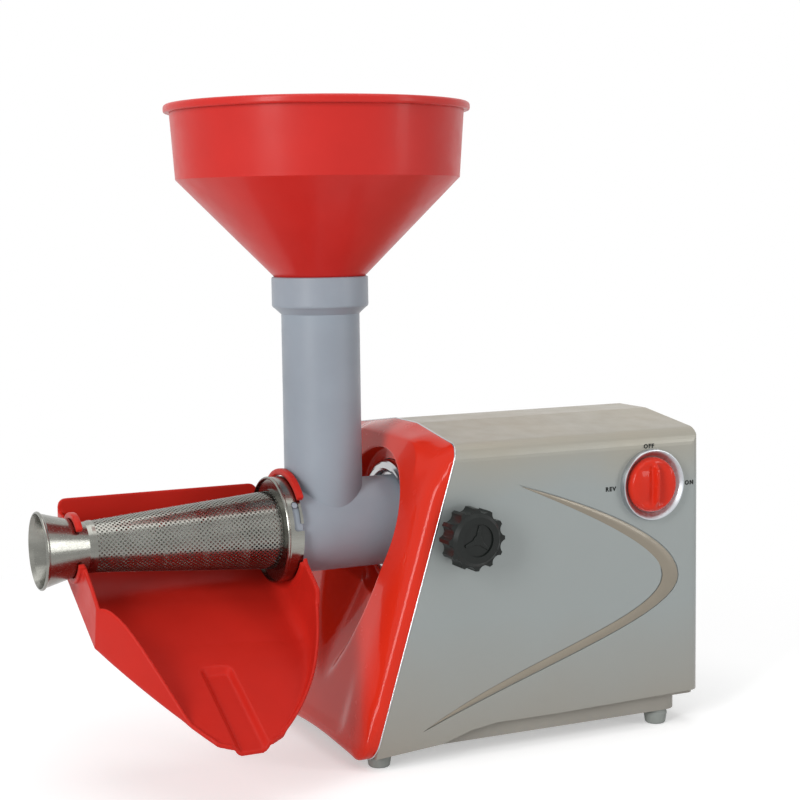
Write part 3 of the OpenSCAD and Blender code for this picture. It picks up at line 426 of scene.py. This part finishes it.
# Meshes of the scene's own pieces
def add_piece(name, mesh, body, slot, *replaced, material=None):
    piece = bpy.data.objects.new(name, mesh)
    bpy.context.scene.collection.objects.link(piece)
    mesh.materials.clear()
    mesh.materials.append(material or materials[slot])
    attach(piece, body)
    if replaced:
        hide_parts(*replaced)


def mesh_from(points, faces):
    """Mesh of points given in working millimetres."""
    mesh = bpy.data.meshes.new("mesh")
    mesh.from_pydata([at(*p) for p in points], [], faces)
    mesh.update()
    return mesh


def modified(mesh, *modifiers):
    """The mesh after Blender's modifiers, each given as its type and its settings."""
    holder = bpy.data.objects.new("holder", mesh)
    bpy.context.scene.collection.objects.link(holder)
    for kind, settings in modifiers:
        modifier = holder.modifiers.new(kind.lower(), kind)
        for key, value in settings.items():
            setattr(modifier, key, value)
    graph = bpy.context.evaluated_depsgraph_get()
    result = bpy.data.meshes.new_from_object(holder.evaluated_get(graph))
    bpy.data.objects.remove(holder)
    bpy.data.meshes.remove(mesh)
    return result


def smooth(mesh, angle):
    """Smooth shading, with every edge sharper than the angle kept."""
    mesh.shade_smooth()
    mesh.set_sharp_from_angle(angle=math.radians(angle))
    return mesh


def outward(mesh):
    """The mesh with all its faces turned outwards."""
    bm = bmesh.new()
    bm.from_mesh(mesh)
    bmesh.ops.recalc_face_normals(bm, faces=bm.faces)
    bm.to_mesh(mesh)
    bm.free()
    return mesh


def thickened(mesh, thickness, angle):
    return smooth(modified(mesh, ("SOLIDIFY", {"thickness": thickness * MM, "offset": -1})), angle)


def across(y, z, x):
    return (x, y, z)


def along(x, z, y):
    return (x, y, z)


def slab(outline, low, high, turned):
    """Prism on an outline: turned(a, b, depth) gives its points in space."""
    n = len(outline)
    points = [turned(a, b, d) for d in (low, high) for a, b in outline]
    faces = [list(range(n)), list(range(2 * n - 1, n - 1, -1))]
    faces += [[i, i + n, (i + 1) % n + n, (i + 1) % n] for i in range(n)]
    return points, faces


def melted(parts, voxel, rounds, *more):
    """One mesh of several closed solids, joined on a grid of voxels and smoothed."""
    points, faces = [], []
    for part_points, part_faces in parts:
        first = len(points)
        points += part_points
        faces += [[first + i for i in face] for face in part_faces]
    mesh = modified(mesh_from(points, faces), ("REMESH", {"mode": "VOXEL", "voxel_size": voxel * MM}),
                    ("SMOOTH", {"factor": 0.5, "iterations": rounds}), *more)
    mesh.shade_smooth()
    return mesh


# Strainer: a perforated sheet, laid out flat as a sector and rolled into the cone
SCREEN_X = (-180.6, -42.6)
SCREEN_R = (18.2, 29.0)
SCREEN_T = 0.45
SCREEN_TURN = 15
HOLE_PITCH = 2.4
HOLE_R = 0.86
HOLE_MARGIN = 0.3
WELD = 0.01
SCREEN_CREASE = 40
# Corners of the square cell round a hole, from its middle in half steps
CELL = [(2, 0), (1, 1), (0, 2), (-1, 1), (-2, 0), (-1, -1), (0, -2), (1, -1)]


def strainer_mesh():
    slant = math.hypot(SCREEN_X[1] - SCREEN_X[0], SCREEN_R[1] - SCREEN_R[0])
    sine = (SCREEN_R[1] - SCREEN_R[0]) / slant
    near, far = SCREEN_R[0] / sine, SCREEN_R[1] / sine
    half = math.pi * sine
    step = HOLE_PITCH / math.sqrt(2)
    points, faces, index = [], [], {}

    def polar(u, v):
        x = (near + far) / 2 + u
        return math.hypot(x, v), math.atan2(v, x)

    def rolled(u, v):
        rho, phi = polar(u, v)
        rho, phi = clamp(rho, near, far), clamp(phi, -half, half)
        turn = phi / sine + math.radians(SCREEN_TURN)
        x = mix(SCREEN_X[0], SCREEN_X[1], (rho - near) / (far - near))
        return (x, -rho * sine * math.cos(turn), AXIS_Z + rho * sine * math.sin(turn))

    def corner(i, j):
        if (i, j) not in index:
            index[(i, j)] = len(points)
            points.append(rolled(i * step / 2, j * step / 2))
        return index[(i, j)]

    def inside(u, v, edge):
        rho, phi = polar(u, v)
        return near + edge < rho < far - edge and abs(phi) * rho < half * rho - edge

    rows = int(slant / step / 2) + 2
    columns = int(half * far / step) + 2
    for i in range(-rows, rows + 1):
        for j in range(-columns, columns + 1):
            if (i + j) % 2 or not inside(i * step, j * step, -step):
                continue
            border = [corner(2 * i + a, 2 * j + b) for a, b in CELL]
            ring = []
            for k in range(len(CELL)):
                turn = 2 * math.pi * k / len(CELL)
                ring.append((i * step + HOLE_R * math.cos(turn), j * step + HOLE_R * math.sin(turn)))
            if not all(inside(u, v, HOLE_MARGIN) for u, v in ring):
                faces.append(border)
                continue
            first = len(points)
            points.extend(rolled(u, v) for u, v in ring)
            for k in range(len(CELL)):
                after = (k + 1) % len(CELL)
                faces.append([border[k], border[after], first + after, first + k])
    mesh = mesh_from(points, faces)
    bm = bmesh.new()
    bm.from_mesh(mesh)
    bmesh.ops.dissolve_degenerate(bm, dist=MM * WELD, edges=bm.edges)
    bm.to_mesh(mesh)
    bm.free()
    return thickened(mesh, SCREEN_T, SCREEN_CREASE)


# Front bezel: leaning face with a round well, a scoop under it and broad soft edges
FRONT_FOOT_X = -19.6
FRONT_SLOPE = math.tan(math.radians(17.2))
SEAM_DEPTH = 15
BEZEL_T = 2.4
# Outer outline: arched foot, rounded corners, straight sides and a roof that falls from its flat
HALF_W = 91.5
ARCH_Z = 12
ARCH_R = 603
ARCH_HALF = 77
ARCH_STEP = 7
FOOT_CORNER_Z = 21
FOOT_CORNER_R = 14
SHOULDER_Z = 218
SHOULDER_R = 13
SHOULDER_TURN = 82
ROOF_FLAT = 19
ROOF_MID = 9
ROOF_Z = 239.4
# Inner outline, where the flat panel starts to bend back
PANEL_HALF = 62
PANEL_LOW = 20.5
PANEL_HIGH = 229.5
PANEL_FOOT_R = 20
PANEL_HEAD_R = 22
# Round well: its floor, its edge and the hole for the drive socket in it
WELL_X = 57
WELL_R = 55
HOLE_EDGE_R = 46
# Rows of the well's foot (in from its edge, in front of its floor) and of its edge (out, behind)
WELL_ROWS = ((1.6, 0), (0.5, 0.5), (0, 1.6))
EDGE_ROWS = ((0, 1.8), (0.25, 0.8), (0.9, 0.15), (1.8, 0))
# Scoop below the well: its lowest Z, the rise to its deepest X, its flat share and its curves' powers
SCOOP_LOW = 45
SCOOP_RISE = 105
SCOOP_BACK = 50
SCOOP_FLAT = 0.45
SCOOP_DEEPENING = 1.3
SCOOP_NARROWING = 1.8
SCOOP_FULLNESS = 0.8
# Low step above the foot: its depth, the heights where it starts and fades, and its half width
RIM_DEPTH = 1.8
RIM_START = (20.5, 23)
RIM_FADE = (26, 75)
RIM_SIDE = (46, 60)
# Soft edge: how deep it bends back low and high, and where it flattens into a bevel under the roof
FOLD_DEPTH = (8, 14.4)
FOLD_Z = (18, 45)
FOLD_ROOF_Z = (196, 233)
FOLD_ROOF_INSET = 3
PANEL_STEPS = 28
FOLD_STEPS = 12
SIDE_STEPS = 40
ROOF_STEPS = 14
BEZEL_CREASE = 50


def front_x(z):
    return FRONT_FOOT_X + FRONT_SLOPE * z


def scoop_half(z):
    """Half width of the scoop, which narrows below the well like a drop."""
    down = clamp((AXIS_Z - z) / (AXIS_Z - SCOOP_LOW), 0, 1)
    return WELL_R * (1 - down ** SCOOP_NARROWING) ** SCOOP_FULLNESS


def scoop_depth(y, z):
    if z > AXIS_Z or z < SCOOP_LOW:
        return 0
    half = scoop_half(z)
    if abs(y) >= half:
        return 0
    rise = math.sin(math.pi / 2 * clamp((z - SCOOP_LOW) / SCOOP_RISE, 0, 1)) ** SCOOP_DEEPENING
    back = mix(front_x(SCOOP_LOW), SCOOP_BACK, rise)
    return max(0, back - front_x(z)) * (1 - smoothstep(SCOOP_FLAT, 1, abs(y) / half))


def rim_step(y, z):
    """Low step above the bottom edge, which leaves a rim along it."""
    lift = smoothstep(*RIM_START, z) * (1 - smoothstep(*RIM_FADE, z))
    return RIM_DEPTH * lift * (1 - smoothstep(*RIM_SIDE, abs(y)))


def face_x(y, z):
    return front_x(z) + scoop_depth(y, z) + rim_step(y, z)


def outer_outline():
    arch = [(y, ARCH_Z - y * y / (2 * ARCH_R)) for y in range(0, ARCH_HALF + 1, ARCH_STEP)]
    corner = arc((HALF_W - FOOT_CORNER_R, FOOT_CORNER_Z), FOOT_CORNER_R, -90, 0)
    side = split((HALF_W, FOOT_CORNER_Z), (HALF_W, SHOULDER_Z), SIDE_STEPS)
    shoulder = arc((HALF_W - SHOULDER_R, SHOULDER_Z), SHOULDER_R, 0, SHOULDER_TURN)
    flat = (ROOF_FLAT, ROOF_Z)
    roof = split(shoulder[-1], flat, ROOF_STEPS) + [flat, (ROOF_MID, ROOF_Z), (0, ROOF_Z)]
    return mirrored(arch + corner + side + shoulder + roof)


def inner_outline():
    low = arc((PANEL_HALF - PANEL_FOOT_R, PANEL_LOW + PANEL_FOOT_R), PANEL_FOOT_R, -90, 0, 6)
    high = arc((PANEL_HALF - PANEL_HEAD_R, PANEL_HIGH - PANEL_HEAD_R), PANEL_HEAD_R, 0, 90)
    return mirrored([(0, PANEL_LOW)] + low + high + [(0, PANEL_HIGH)])


def reach(outline, angle):
    """How far a ray from the well's centre goes before it leaves the outline."""
    dy, dz = math.cos(angle), math.sin(angle)
    best = 0
    for (y0, z0), (y1, z1) in zip(outline, outline[1:] + outline[:1]):
        z0, z1 = z0 - AXIS_Z, z1 - AXIS_Z
        side = dy * (z1 - z0) - dz * (y1 - y0)
        if abs(side) < 1e-9:
            continue
        t = (y0 * (z1 - z0) - z0 * (y1 - y0)) / side
        k = (y0 * dz - z0 * dy) / side
        if 0 <= k <= 1 and t > best:
            best = t
    return best


def bezel_row(y, z, inner):
    """Points from the well's hole out to the seam, on the ray through one point of the outline."""
    angle = math.atan2(z - AXIS_Z, y)
    dy, dz = math.cos(angle), math.sin(angle)
    full = math.hypot(y, z - AXIS_Z)
    inset = reach(inner, angle)

    def spot(r, x):
        return (x, r * dy, AXIS_Z + r * dz)

    def on_face(r, deeper=0):
        return spot(r, face_x(r * dy, AXIS_Z + r * dz) + deeper)

    row = [spot(HOLE_EDGE_R, WELL_X)]
    row += [spot(WELL_R - inward, WELL_X - front) for inward, front in WELL_ROWS]
    row += [on_face(WELL_R + out, behind) for out, behind in EDGE_ROWS]
    start = WELL_R + EDGE_ROWS[-1][0]
    row += [on_face(mix(start, inset, i / PANEL_STEPS)) for i in range(1, PANEL_STEPS + 1)]
    depth = mix(*FOLD_DEPTH, smoothstep(*FOLD_Z, z))
    middle = mix(full, inset + FOLD_ROOF_INSET, smoothstep(*FOLD_ROOF_Z, z))
    for i in range(1, FOLD_STEPS + 1):
        t = i / FOLD_STEPS
        r = inset * (1 - t) ** 2 + middle * 2 * t * (1 - t) + full * t * t
        row.append(spot(r, front_x(AXIS_Z + r * dz) + depth * t * t))
    return row + [spot(full, front_x(z) + SEAM_DEPTH)]


def bezel_mesh():
    inner = inner_outline()
    rows = [bezel_row(y, z, inner) for y, z in outer_outline()]
    width = len(rows[0])
    faces = []
    for k in range(len(rows)):
        a, b = k * width, (k + 1) % len(rows) * width
        faces += [[a + j, b + j, b + j + 1, a + j + 1] for j in range(width - 1)]
    mesh = mesh_from([p for row in rows for p in row], faces)
    panel_face = width - FOLD_STEPS - PANEL_STEPS // 2
    if mesh.polygons[panel_face].normal.x > 0:
        mesh.flip_normals()
    return thickened(mesh, BEZEL_T, BEZEL_CREASE)


# Bright bead along the seam between bezel and shell: a painted highlight that stands for the light caught by
# the shell's edge
SEAM_BEAD_R = 0.7
SEAM_BEAD_SUNK = 0.1
SEAM_BEAD_SIDES = 8


def seam_highlight_mesh():
    outline = outer_outline()
    count = len(outline)
    points, faces = [], []
    for k, (y, z) in enumerate(outline):
        after = (k + 1) % count
        (y0, z0), (y1, z1) = outline[k - 1], outline[after]
        away = Vector((z1 - z0, y0 - y1)).normalized()
        for i in range(SEAM_BEAD_SIDES):
            a = 2 * math.pi * i / SEAM_BEAD_SIDES
            out = SEAM_BEAD_R * math.cos(a) - SEAM_BEAD_SUNK
            x = front_x(z) + SEAM_DEPTH + SEAM_BEAD_R * math.sin(a)
            points.append((x, y + away.x * out, z + away.y * out))
            beside = (i + 1) % SEAM_BEAD_SIDES
            here, there = k * SEAM_BEAD_SIDES, after * SEAM_BEAD_SIDES
            faces.append([here + i, here + beside, there + beside, there + i])
    mesh = mesh_from(points, faces)
    mesh.shade_smooth()
    return mesh


# Band that covers the wave recess of the near side and is wider in its upper half; its browner colour is a
# painted reflection of the surroundings
WAVE_FLOOR = -91.4
WAVE_OUTER = ([(119, 196.6), (175, 179.4), (254, 149), (254.8, 118)],
              [(254.8, 118), (255, 88), (140, 64.8), (40, 26.8)])
WAVE_INNER = ([(119, 196.2), (165, 176), (241.5, 142), (240.8, 119.5)],
              [(240.8, 119.5), (240.8, 88), (120, 69.4), (40, 26.6)])
WAVE_UPPER_STEPS = 30
WAVE_LOWER_STEPS = 40
# Section of the band: share of its width, and height above the recess
WAVE_SECTION = ((0, 0), (0.05, 0.3), (0.5, 0.42), (0.95, 0.3), (1, 0))


def wave_edge(upper, lower):
    edge = [bend(upper, i / WAVE_UPPER_STEPS) for i in range(WAVE_UPPER_STEPS)]
    return edge + [bend(lower, i / WAVE_LOWER_STEPS) for i in range(WAVE_LOWER_STEPS + 1)]


def wave_mesh():
    outer, inner = wave_edge(*WAVE_OUTER), wave_edge(*WAVE_INNER)
    width = len(WAVE_SECTION)
    points, faces = [], []
    for (x0, z0), (x1, z1) in zip(outer, inner):
        for share, lift in WAVE_SECTION:
            points.append((mix(x0, x1, share), WAVE_FLOOR - lift, mix(z0, z1, share)))
    for i in range(len(outer) - 1):
        for a in range(i * width, i * width + width - 1):
            faces.append([a, a + 1, a + width + 1, a + width])
    mesh = mesh_from(points, faces)
    mesh.shade_smooth()
    return mesh


# Switch: a dished collar, and a cap with a ridge between two hollows
SWITCH_AT = (230, 190)
SIDE_Y = -91.5
COLLAR_SIDES = 96
COLLAR = [(27, -0.2), (27, 1), (26.9, 4.4), (26.6, 5.1), (26, 5.3), (25.4, 4.9), (23.6, 2.7), (22.2, 1.2),
          (21.4, 0.7), (21.4, -0.2)]
CAP_SIDES = 144
CAP_FOOT = 0.6
CAP_EDGE = [(21, 0), (20.9, 1.2), (20.4, 2.9), (19.6, 4.3), (18.5, 5.4)]
CAP_TOP = 8
CAP_DOME = 2.5
CAP_DOME_R = 18.5
CAP_FACE_R = 18
CAP_RINGS = 24
CAP_RIDGE = 3
CAP_HOLLOW = 2.1
# Where the ridge falls and the hollows start and fade across the cap, and where both end along it
RIDGE_FALL = (0.95, 2.2)
HOLLOW_START = (1.1, 2.6)
HOLLOW_FADE = (3, 17)
CAP_ENDS = (11, 17.5)
COLLAR_CREASE = 40
CAP_CREASE = 50


def round_side(rows, closed):
    """Rings round the switch's axis, each a row of (radius, height) for its angles."""
    count = len(rows[0])
    points = []
    for row in rows:
        for k, (r, out) in enumerate(row):
            a = 2 * math.pi * k / count
            points.append((SWITCH_AT[0] + r * math.cos(a), SIDE_Y - out, SWITCH_AT[1] + r * math.sin(a)))
    faces = []
    for j in range(len(rows) if closed else len(rows) - 1):
        a, b = j * count, (j + 1) % len(rows) * count
        faces += [[a + k, a + (k + 1) % count, b + (k + 1) % count, b + k] for k in range(count)]
    return points, faces


def collar_mesh():
    points, faces = round_side([[spot] * COLLAR_SIDES for spot in COLLAR], True)
    return smooth(outward(mesh_from(points, faces)), COLLAR_CREASE)


def cap_height(u, v):
    middle = 1 - smoothstep(*CAP_ENDS, abs(v))
    ridge = CAP_RIDGE * (1 - smoothstep(*RIDGE_FALL, abs(u))) * middle
    hollow = CAP_HOLLOW * smoothstep(*HOLLOW_START, abs(u)) * (1 - smoothstep(*HOLLOW_FADE, abs(u))) * middle
    return CAP_TOP - CAP_DOME * math.hypot(u, v) ** 2 / CAP_DOME_R ** 2 + ridge - hollow


def cap_mesh():
    turns = [2 * math.pi * k / CAP_SIDES for k in range(CAP_SIDES)]
    rows = [[(r, CAP_FOOT + out)] * CAP_SIDES for r, out in CAP_EDGE]
    for i in range(CAP_RINGS, 0, -1):
        r = CAP_FACE_R * i / CAP_RINGS
        rows.append([(r, CAP_FOOT + cap_height(r * math.cos(a), r * math.sin(a))) for a in turns])
    points, faces = round_side(rows, False)
    last = len(points) - CAP_SIDES
    points.append((SWITCH_AT[0], SIDE_Y - CAP_FOOT - cap_height(0, 0), SWITCH_AT[1]))
    faces += [[last + k, last + (k + 1) % CAP_SIDES, len(points) - 1] for k in range(CAP_SIDES)]
    faces.append(list(range(CAP_SIDES)))
    return smooth(outward(mesh_from(points, faces)), CAP_CREASE)


# Words beside the switch
LABELS = (("label_off", "OFF", 228.2, 219),
          ("label_reverse", "REV", 194.4, 188.8),
          ("label_on", "ON", 264.8, 188.6))
LETTER_SIZE = 4.4
LETTER_GAP = 1.3
LETTER_LIFT = 0.1
LETTER_BOLD = 0.2


def label_mesh(words):
    curve = bpy.data.curves.new("letters", "FONT")
    curve.body = words
    curve.size = LETTER_SIZE * MM
    curve.space_character = LETTER_GAP
    curve.align_x = "CENTER"
    curve.align_y = "CENTER"
    curve.extrude = LETTER_LIFT * MM
    curve.offset = LETTER_BOLD * MM
    holder = bpy.data.objects.new("letters", curve)
    bpy.context.scene.collection.objects.link(holder)
    mesh = bpy.data.meshes.new_from_object(holder.evaluated_get(bpy.context.evaluated_depsgraph_get()))
    bpy.data.objects.remove(holder)
    return mesh


def add_labels():
    upright = Matrix.Rotation(math.pi / 2, 4, "X")
    for name, words, x, z in LABELS:
        mesh = label_mesh(words)
        mesh.transform(Matrix.Translation(at(x, SIDE_Y - LETTER_LIFT, z)) @ upright)
        add_piece(name, mesh, "base", "black_plastic")


# Relief in the middle of the lock knob: a hub with three tapered arms
KNOB_AT = (70, 165)
KNOB_FOOT = -113.5
KNOB_FACE = -114.6
HUB_R = 3.6
HUB_SIDES = 24
ARM = [(2, -1.9), (10.8, -0.9), (10.8, 0.9), (2, 1.9)]
ARM_TURNS = (80, 200, 320)
RELIEF_VOXEL = 0.3
RELIEF_ROUNDS = 3


def knob_arm(turn):
    out, side = math.cos(turn), math.sin(turn)
    return [(KNOB_AT[0] + u * out - v * side, KNOB_AT[1] + u * side + v * out) for u, v in ARM]


def knob_relief_mesh():
    outlines = [knob_arm(math.radians(turn)) for turn in ARM_TURNS]
    outlines.append(arc(KNOB_AT, HUB_R, 0, 360 - 360 / HUB_SIDES, HUB_SIDES - 1))
    parts = [slab(outline, KNOB_FOOT, KNOB_FACE, along) for outline in outlines]
    return melted(parts, RELIEF_VOXEL, RELIEF_ROUNDS)


# Juice chute: lofted trough, end walls and clips, melted into one moulding
CHUTE_LEFT = -187.6
CHUTE_RIGHT = -32.4
CHUTE_RIGHT_FOOT = -36
CHUTE_MID = -113
CHUTE_T = 2.5
CHUTE_VOXEL = 0.8
CHUTE_ROUNDS = 4
CHUTE_KEPT = 0.3
FLOOR_Z = 124.8
FLOOR_FALL = 0.52
FLOOR_TILT = 7
# Back of the trough: Y, brim height at the left and brim height at the right
BACK = ((46, 164, 157), (36, 155, 150), (26, 147, 143), (13, 144, 139.5), (0, 141, 136),
        (-14, 138, 134), (-28, 133, 132))
BACK_ROUND = 10
# Front of the trough: curves of its two feet and two brims, and the radii of its rounded feet
LEFT_FOOT = [(CHUTE_LEFT, -44), (-177, -68), (-158, -104), (-137, -135)]
RIGHT_FOOT = [(CHUTE_RIGHT_FOOT, -50), (-39, -74), (-62, -113), (-88, -134)]
RIGHT_BRIM = [(CHUTE_RIGHT, -57, 130), (-36, -77, 86), (-60, -115, 73), (-87.5, -135.5, 56.5)]
LEFT_BRIM_Z = [(131,), (140,), (95,), (57,)]
LEFT_BRIM_END = 0.9
FRONT_STEPS = 60
FRONT_ROUND = 9
FRONT_ROUND_END = 1.2
LEFT_ROUND = 3
BRIM_LEAN = 7
SPOUT_Y = -142.5
SPOUT_ROWS = ((SPOUT_Y + 4, 21.5), (SPOUT_Y, 13))
SPOUT_RIM = 1.8
SPOUT_ROUND = 0.6
SPOUT_FLARE = 0.6
BRIM_FLARE = 0.2
FILLET_SHARE = 0.45
# Pouring groove: its end, depth, half width, corner radius, sloping side and where its points lie
GROOVE_Y = -69
GROOVE_DEPTH = 4.5
GROOVE_HALF = 12
GROOVE_ROUND = 6
GROOVE_SIDE = 4.4
GROOVE_X = (4, 6, 7.6, 8.6, 9.8, 11, 12)
# End plates: cut-outs round the outlet and the flange, as radius and angles, and depths under the floor
OUTLET_CUT = (22.5, 36.9, -152.6)
FLANGE_CUT = (41.2, -158, -9.8)
LEFT_DROP = 0.4
RIGHT_DROP = 8
PLATE_RIGHT_X = -29.5
LEFT_OVERLAP = 0.2
RIGHT_OVERLAP = 0.6
BACK_Y = 47
WALL_Y = (44.5, 47.4)
WALL_LOW = 139
WALL_STEP_Z = 168
# Clips: X and width, inner and outer radius, and the angles where they start and end
CLIPS = ((-193.4, 4.8, 21.1, 25.2, -158, 140), (-34.5, 4.9, 39.8, 44.7, -152, 141))
CLIP_STEPS = 40
CUT_STEPS = 18


def floor_z(y):
    return FLOOR_Z + FLOOR_FALL * y


def chute_stations():
    """Sections of the trough: left brim, left foot, right foot, right brim and rounding."""
    rows = []
    for y, left, right in BACK:
        rows.append([(CHUTE_LEFT, y, left), (CHUTE_LEFT, y, floor_z(y)),
                     (CHUTE_RIGHT_FOOT, y, floor_z(y) - FLOOR_TILT), (CHUTE_RIGHT, y, right), BACK_ROUND])
    for i in range(FRONT_STEPS + 1):
        t = i / FRONT_STEPS
        lx, ly = bend(LEFT_FOOT, t)
        rx, ry = bend(RIGHT_FOOT, t)
        brim = max(floor_z(ly) + SPOUT_RIM, bend(LEFT_BRIM_Z, min(1, t / LEFT_BRIM_END))[0])
        rows.append([(lx - BRIM_FLARE, ly - BRIM_LEAN * (1 - t) ** 2, brim), (lx, ly, floor_z(ly)),
                     (rx, ry, floor_z(ry) - FLOOR_TILT * (1 - t) ** 1.5), bend(RIGHT_BRIM, t),
                     FRONT_ROUND * (1 - t) + FRONT_ROUND_END])
    for y, half in SPOUT_ROWS:
        low = floor_z(y)
        high = low + SPOUT_RIM
        left, right = CHUTE_MID - half, CHUTE_MID + half
        rows.append([(left - SPOUT_FLARE, y, high), (left, y, low), (right, y, low),
                     (right + SPOUT_FLARE, y, high), SPOUT_ROUND])
    return rows


def fillet(a, b, c, radius, steps=6):
    """Rounded corner at b, from its side towards a to its side towards c."""
    a, b, c = Vector(a), Vector(b), Vector(c)
    start = b + (a - b).normalized() * min(radius, FILLET_SHARE * (a - b).length)
    end = b + (c - b).normalized() * radius
    shares = [i / steps for i in range(steps + 1)]
    return [start * (1 - t) ** 2 + b * 2 * t * (1 - t) + end * t * t for t in shares]


def groove_depth(x, y):
    """Depth of the pouring groove, a channel with round corners that runs out at the spout."""
    side = abs(x) - GROOVE_HALF + GROOVE_ROUND
    end = y - GROOVE_Y + GROOVE_ROUND
    outside = math.hypot(max(side, 0), max(end, 0)) + min(max(side, end), 0) - GROOVE_ROUND
    return GROOVE_DEPTH * (1 - smoothstep(-GROOVE_SIDE, 0, outside))


def chute_row(station):
    left, foot, other, right, radius = station
    marks = []
    for x in [-x for x in reversed(GROOVE_X)] + list(GROOVE_X):
        mark = Vector(foot).lerp(Vector(other), (CHUTE_MID + x - foot[0]) / (other[0] - foot[0]))
        marks.append(mark - Vector((0, 0, groove_depth(x, mark.y))))
    row = [Vector(left)] + fillet(left, foot, other, min(LEFT_ROUND, radius)) + marks
    return row + list(reversed(fillet(right, other, foot, radius))) + [Vector(right)]


def pushed(row, distance):
    """A row of points moved square to its own line, as seen along Y."""
    result = []
    for i, p in enumerate(row):
        ahead = row[min(i + 1, len(row) - 1)] - row[max(i - 1, 0)]
        side = Vector((ahead.z, 0, -ahead.x)).normalized()
        result.append(p + side * distance)
    return result


def trough():
    rows = [chute_row(station) for station in chute_stations()]
    width, count = len(rows[0]), len(rows)
    points = [p for row in rows for p in row] + [p for row in rows for p in pushed(row, CHUTE_T)]
    back = width * count
    faces = []
    for i in range(count - 1):
        for a in range(i * width, i * width + width - 1):
            faces.append([a, a + 1, a + width + 1, a + width])
            faces.append([back + a, back + a + width, back + a + width + 1, back + a + 1])
        for a in (i * width, i * width + width - 1):
            faces.append([a, a + width, back + a + width, back + a])
    for first in (0, (count - 1) * width):
        for a in range(first, first + width - 1):
            faces.append([a, back + a, back + a + 1, a + 1])
    return points, faces


def end_plates():
    """Plates at both ends, cut out round the outlet and the flange."""
    def under(y, drop):
        return (y, floor_z(y) - drop)

    axis = (0, AXIS_Z)
    left = [under(BACK_Y, LEFT_DROP), (BACK_Y, 184), (20, 180)] + arc(axis, *OUTLET_CUT, CUT_STEPS)
    left += [(-24, 151.5), (-38, 142.5), (-51.5, 132), under(-44.5, LEFT_DROP)]
    right = [(-61, 131), (-40, 146)] + arc(axis, *FLANGE_CUT, CUT_STEPS)
    right += [(BACK_Y, 158), under(BACK_Y, RIGHT_DROP), under(4, RIGHT_DROP)]
    right += [(-50, 90), (-57, 104), (-61.5, 122)]
    return [slab(left, CHUTE_LEFT - CHUTE_T, CHUTE_LEFT + LEFT_OVERLAP, across),
            slab(right, CHUTE_RIGHT - RIGHT_OVERLAP, PLATE_RIGHT_X, across)]


def back_wall():
    """Wall behind the strainer, with both of its upper corners rounded."""
    wall = [(CHUTE_LEFT - 2.4, 146), (PLATE_RIGHT_X, WALL_LOW), (PLATE_RIGHT_X, WALL_STEP_Z), (-36, 180)]
    wall += arc((-43, 186.5), 7, 0, 90, 6) + arc((CHUTE_LEFT + 3.4, 187.7), 5.8, 90, 180, 6)
    return slab(wall, *WALL_Y, along)


def clip(x, wide, inner, outer, start, end):
    axis = (0, AXIS_Z)
    ring = arc(axis, outer, start, end, CLIP_STEPS) + arc(axis, inner, end, start, CLIP_STEPS)
    return slab(ring, x, x + wide, across)


def chute_mesh():
    parts = [trough()] + end_plates() + [back_wall()] + [clip(*sizes) for sizes in CLIPS]
    return melted(parts, CHUTE_VOXEL, CHUTE_ROUNDS, ("DECIMATE", {"ratio": CHUTE_KEPT}))


def add_pieces():
    add_piece("strainer_sheet", strainer_mesh(), "strainer", "stainless", "strainer_screen")
    add_piece("bezel_moulding", bezel_mesh(), "base", "bezel_red", "front_bezel")
    add_piece("chute_moulding", chute_mesh(), "chute", "chute_red", "chute")
    # Painted highlight: a bright bead where the shell's edge catches light
    add_piece("seam_highlight_bead", seam_highlight_mesh(), "base", "polished_aluminium")
    # Wave band coloured with a painted reflection
    add_piece("wave_band", wave_mesh(), "base", "shell_silver", material=materials["wave_painted_reflection"])
    add_piece("knob_relief", knob_relief_mesh(), "knob", "black_plastic")
    add_piece("switch_collar", collar_mesh(), "base", "chrome_ring", "switch_ring")
    add_piece("switch_cap", cap_mesh(), "switch", "bezel_red", "switch_knob")
    add_labels()


bpy.ops.object.select_all(action="SELECT")
bpy.ops.object.delete()
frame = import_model()
FOOT = tube_foot()
AXIS_Z = drive_height()
materials = make_materials()
dress_frame()
add_pieces()
add_camera()
add_light()
add_floor()
bpy.context.scene.view_settings.view_transform = "Standard"
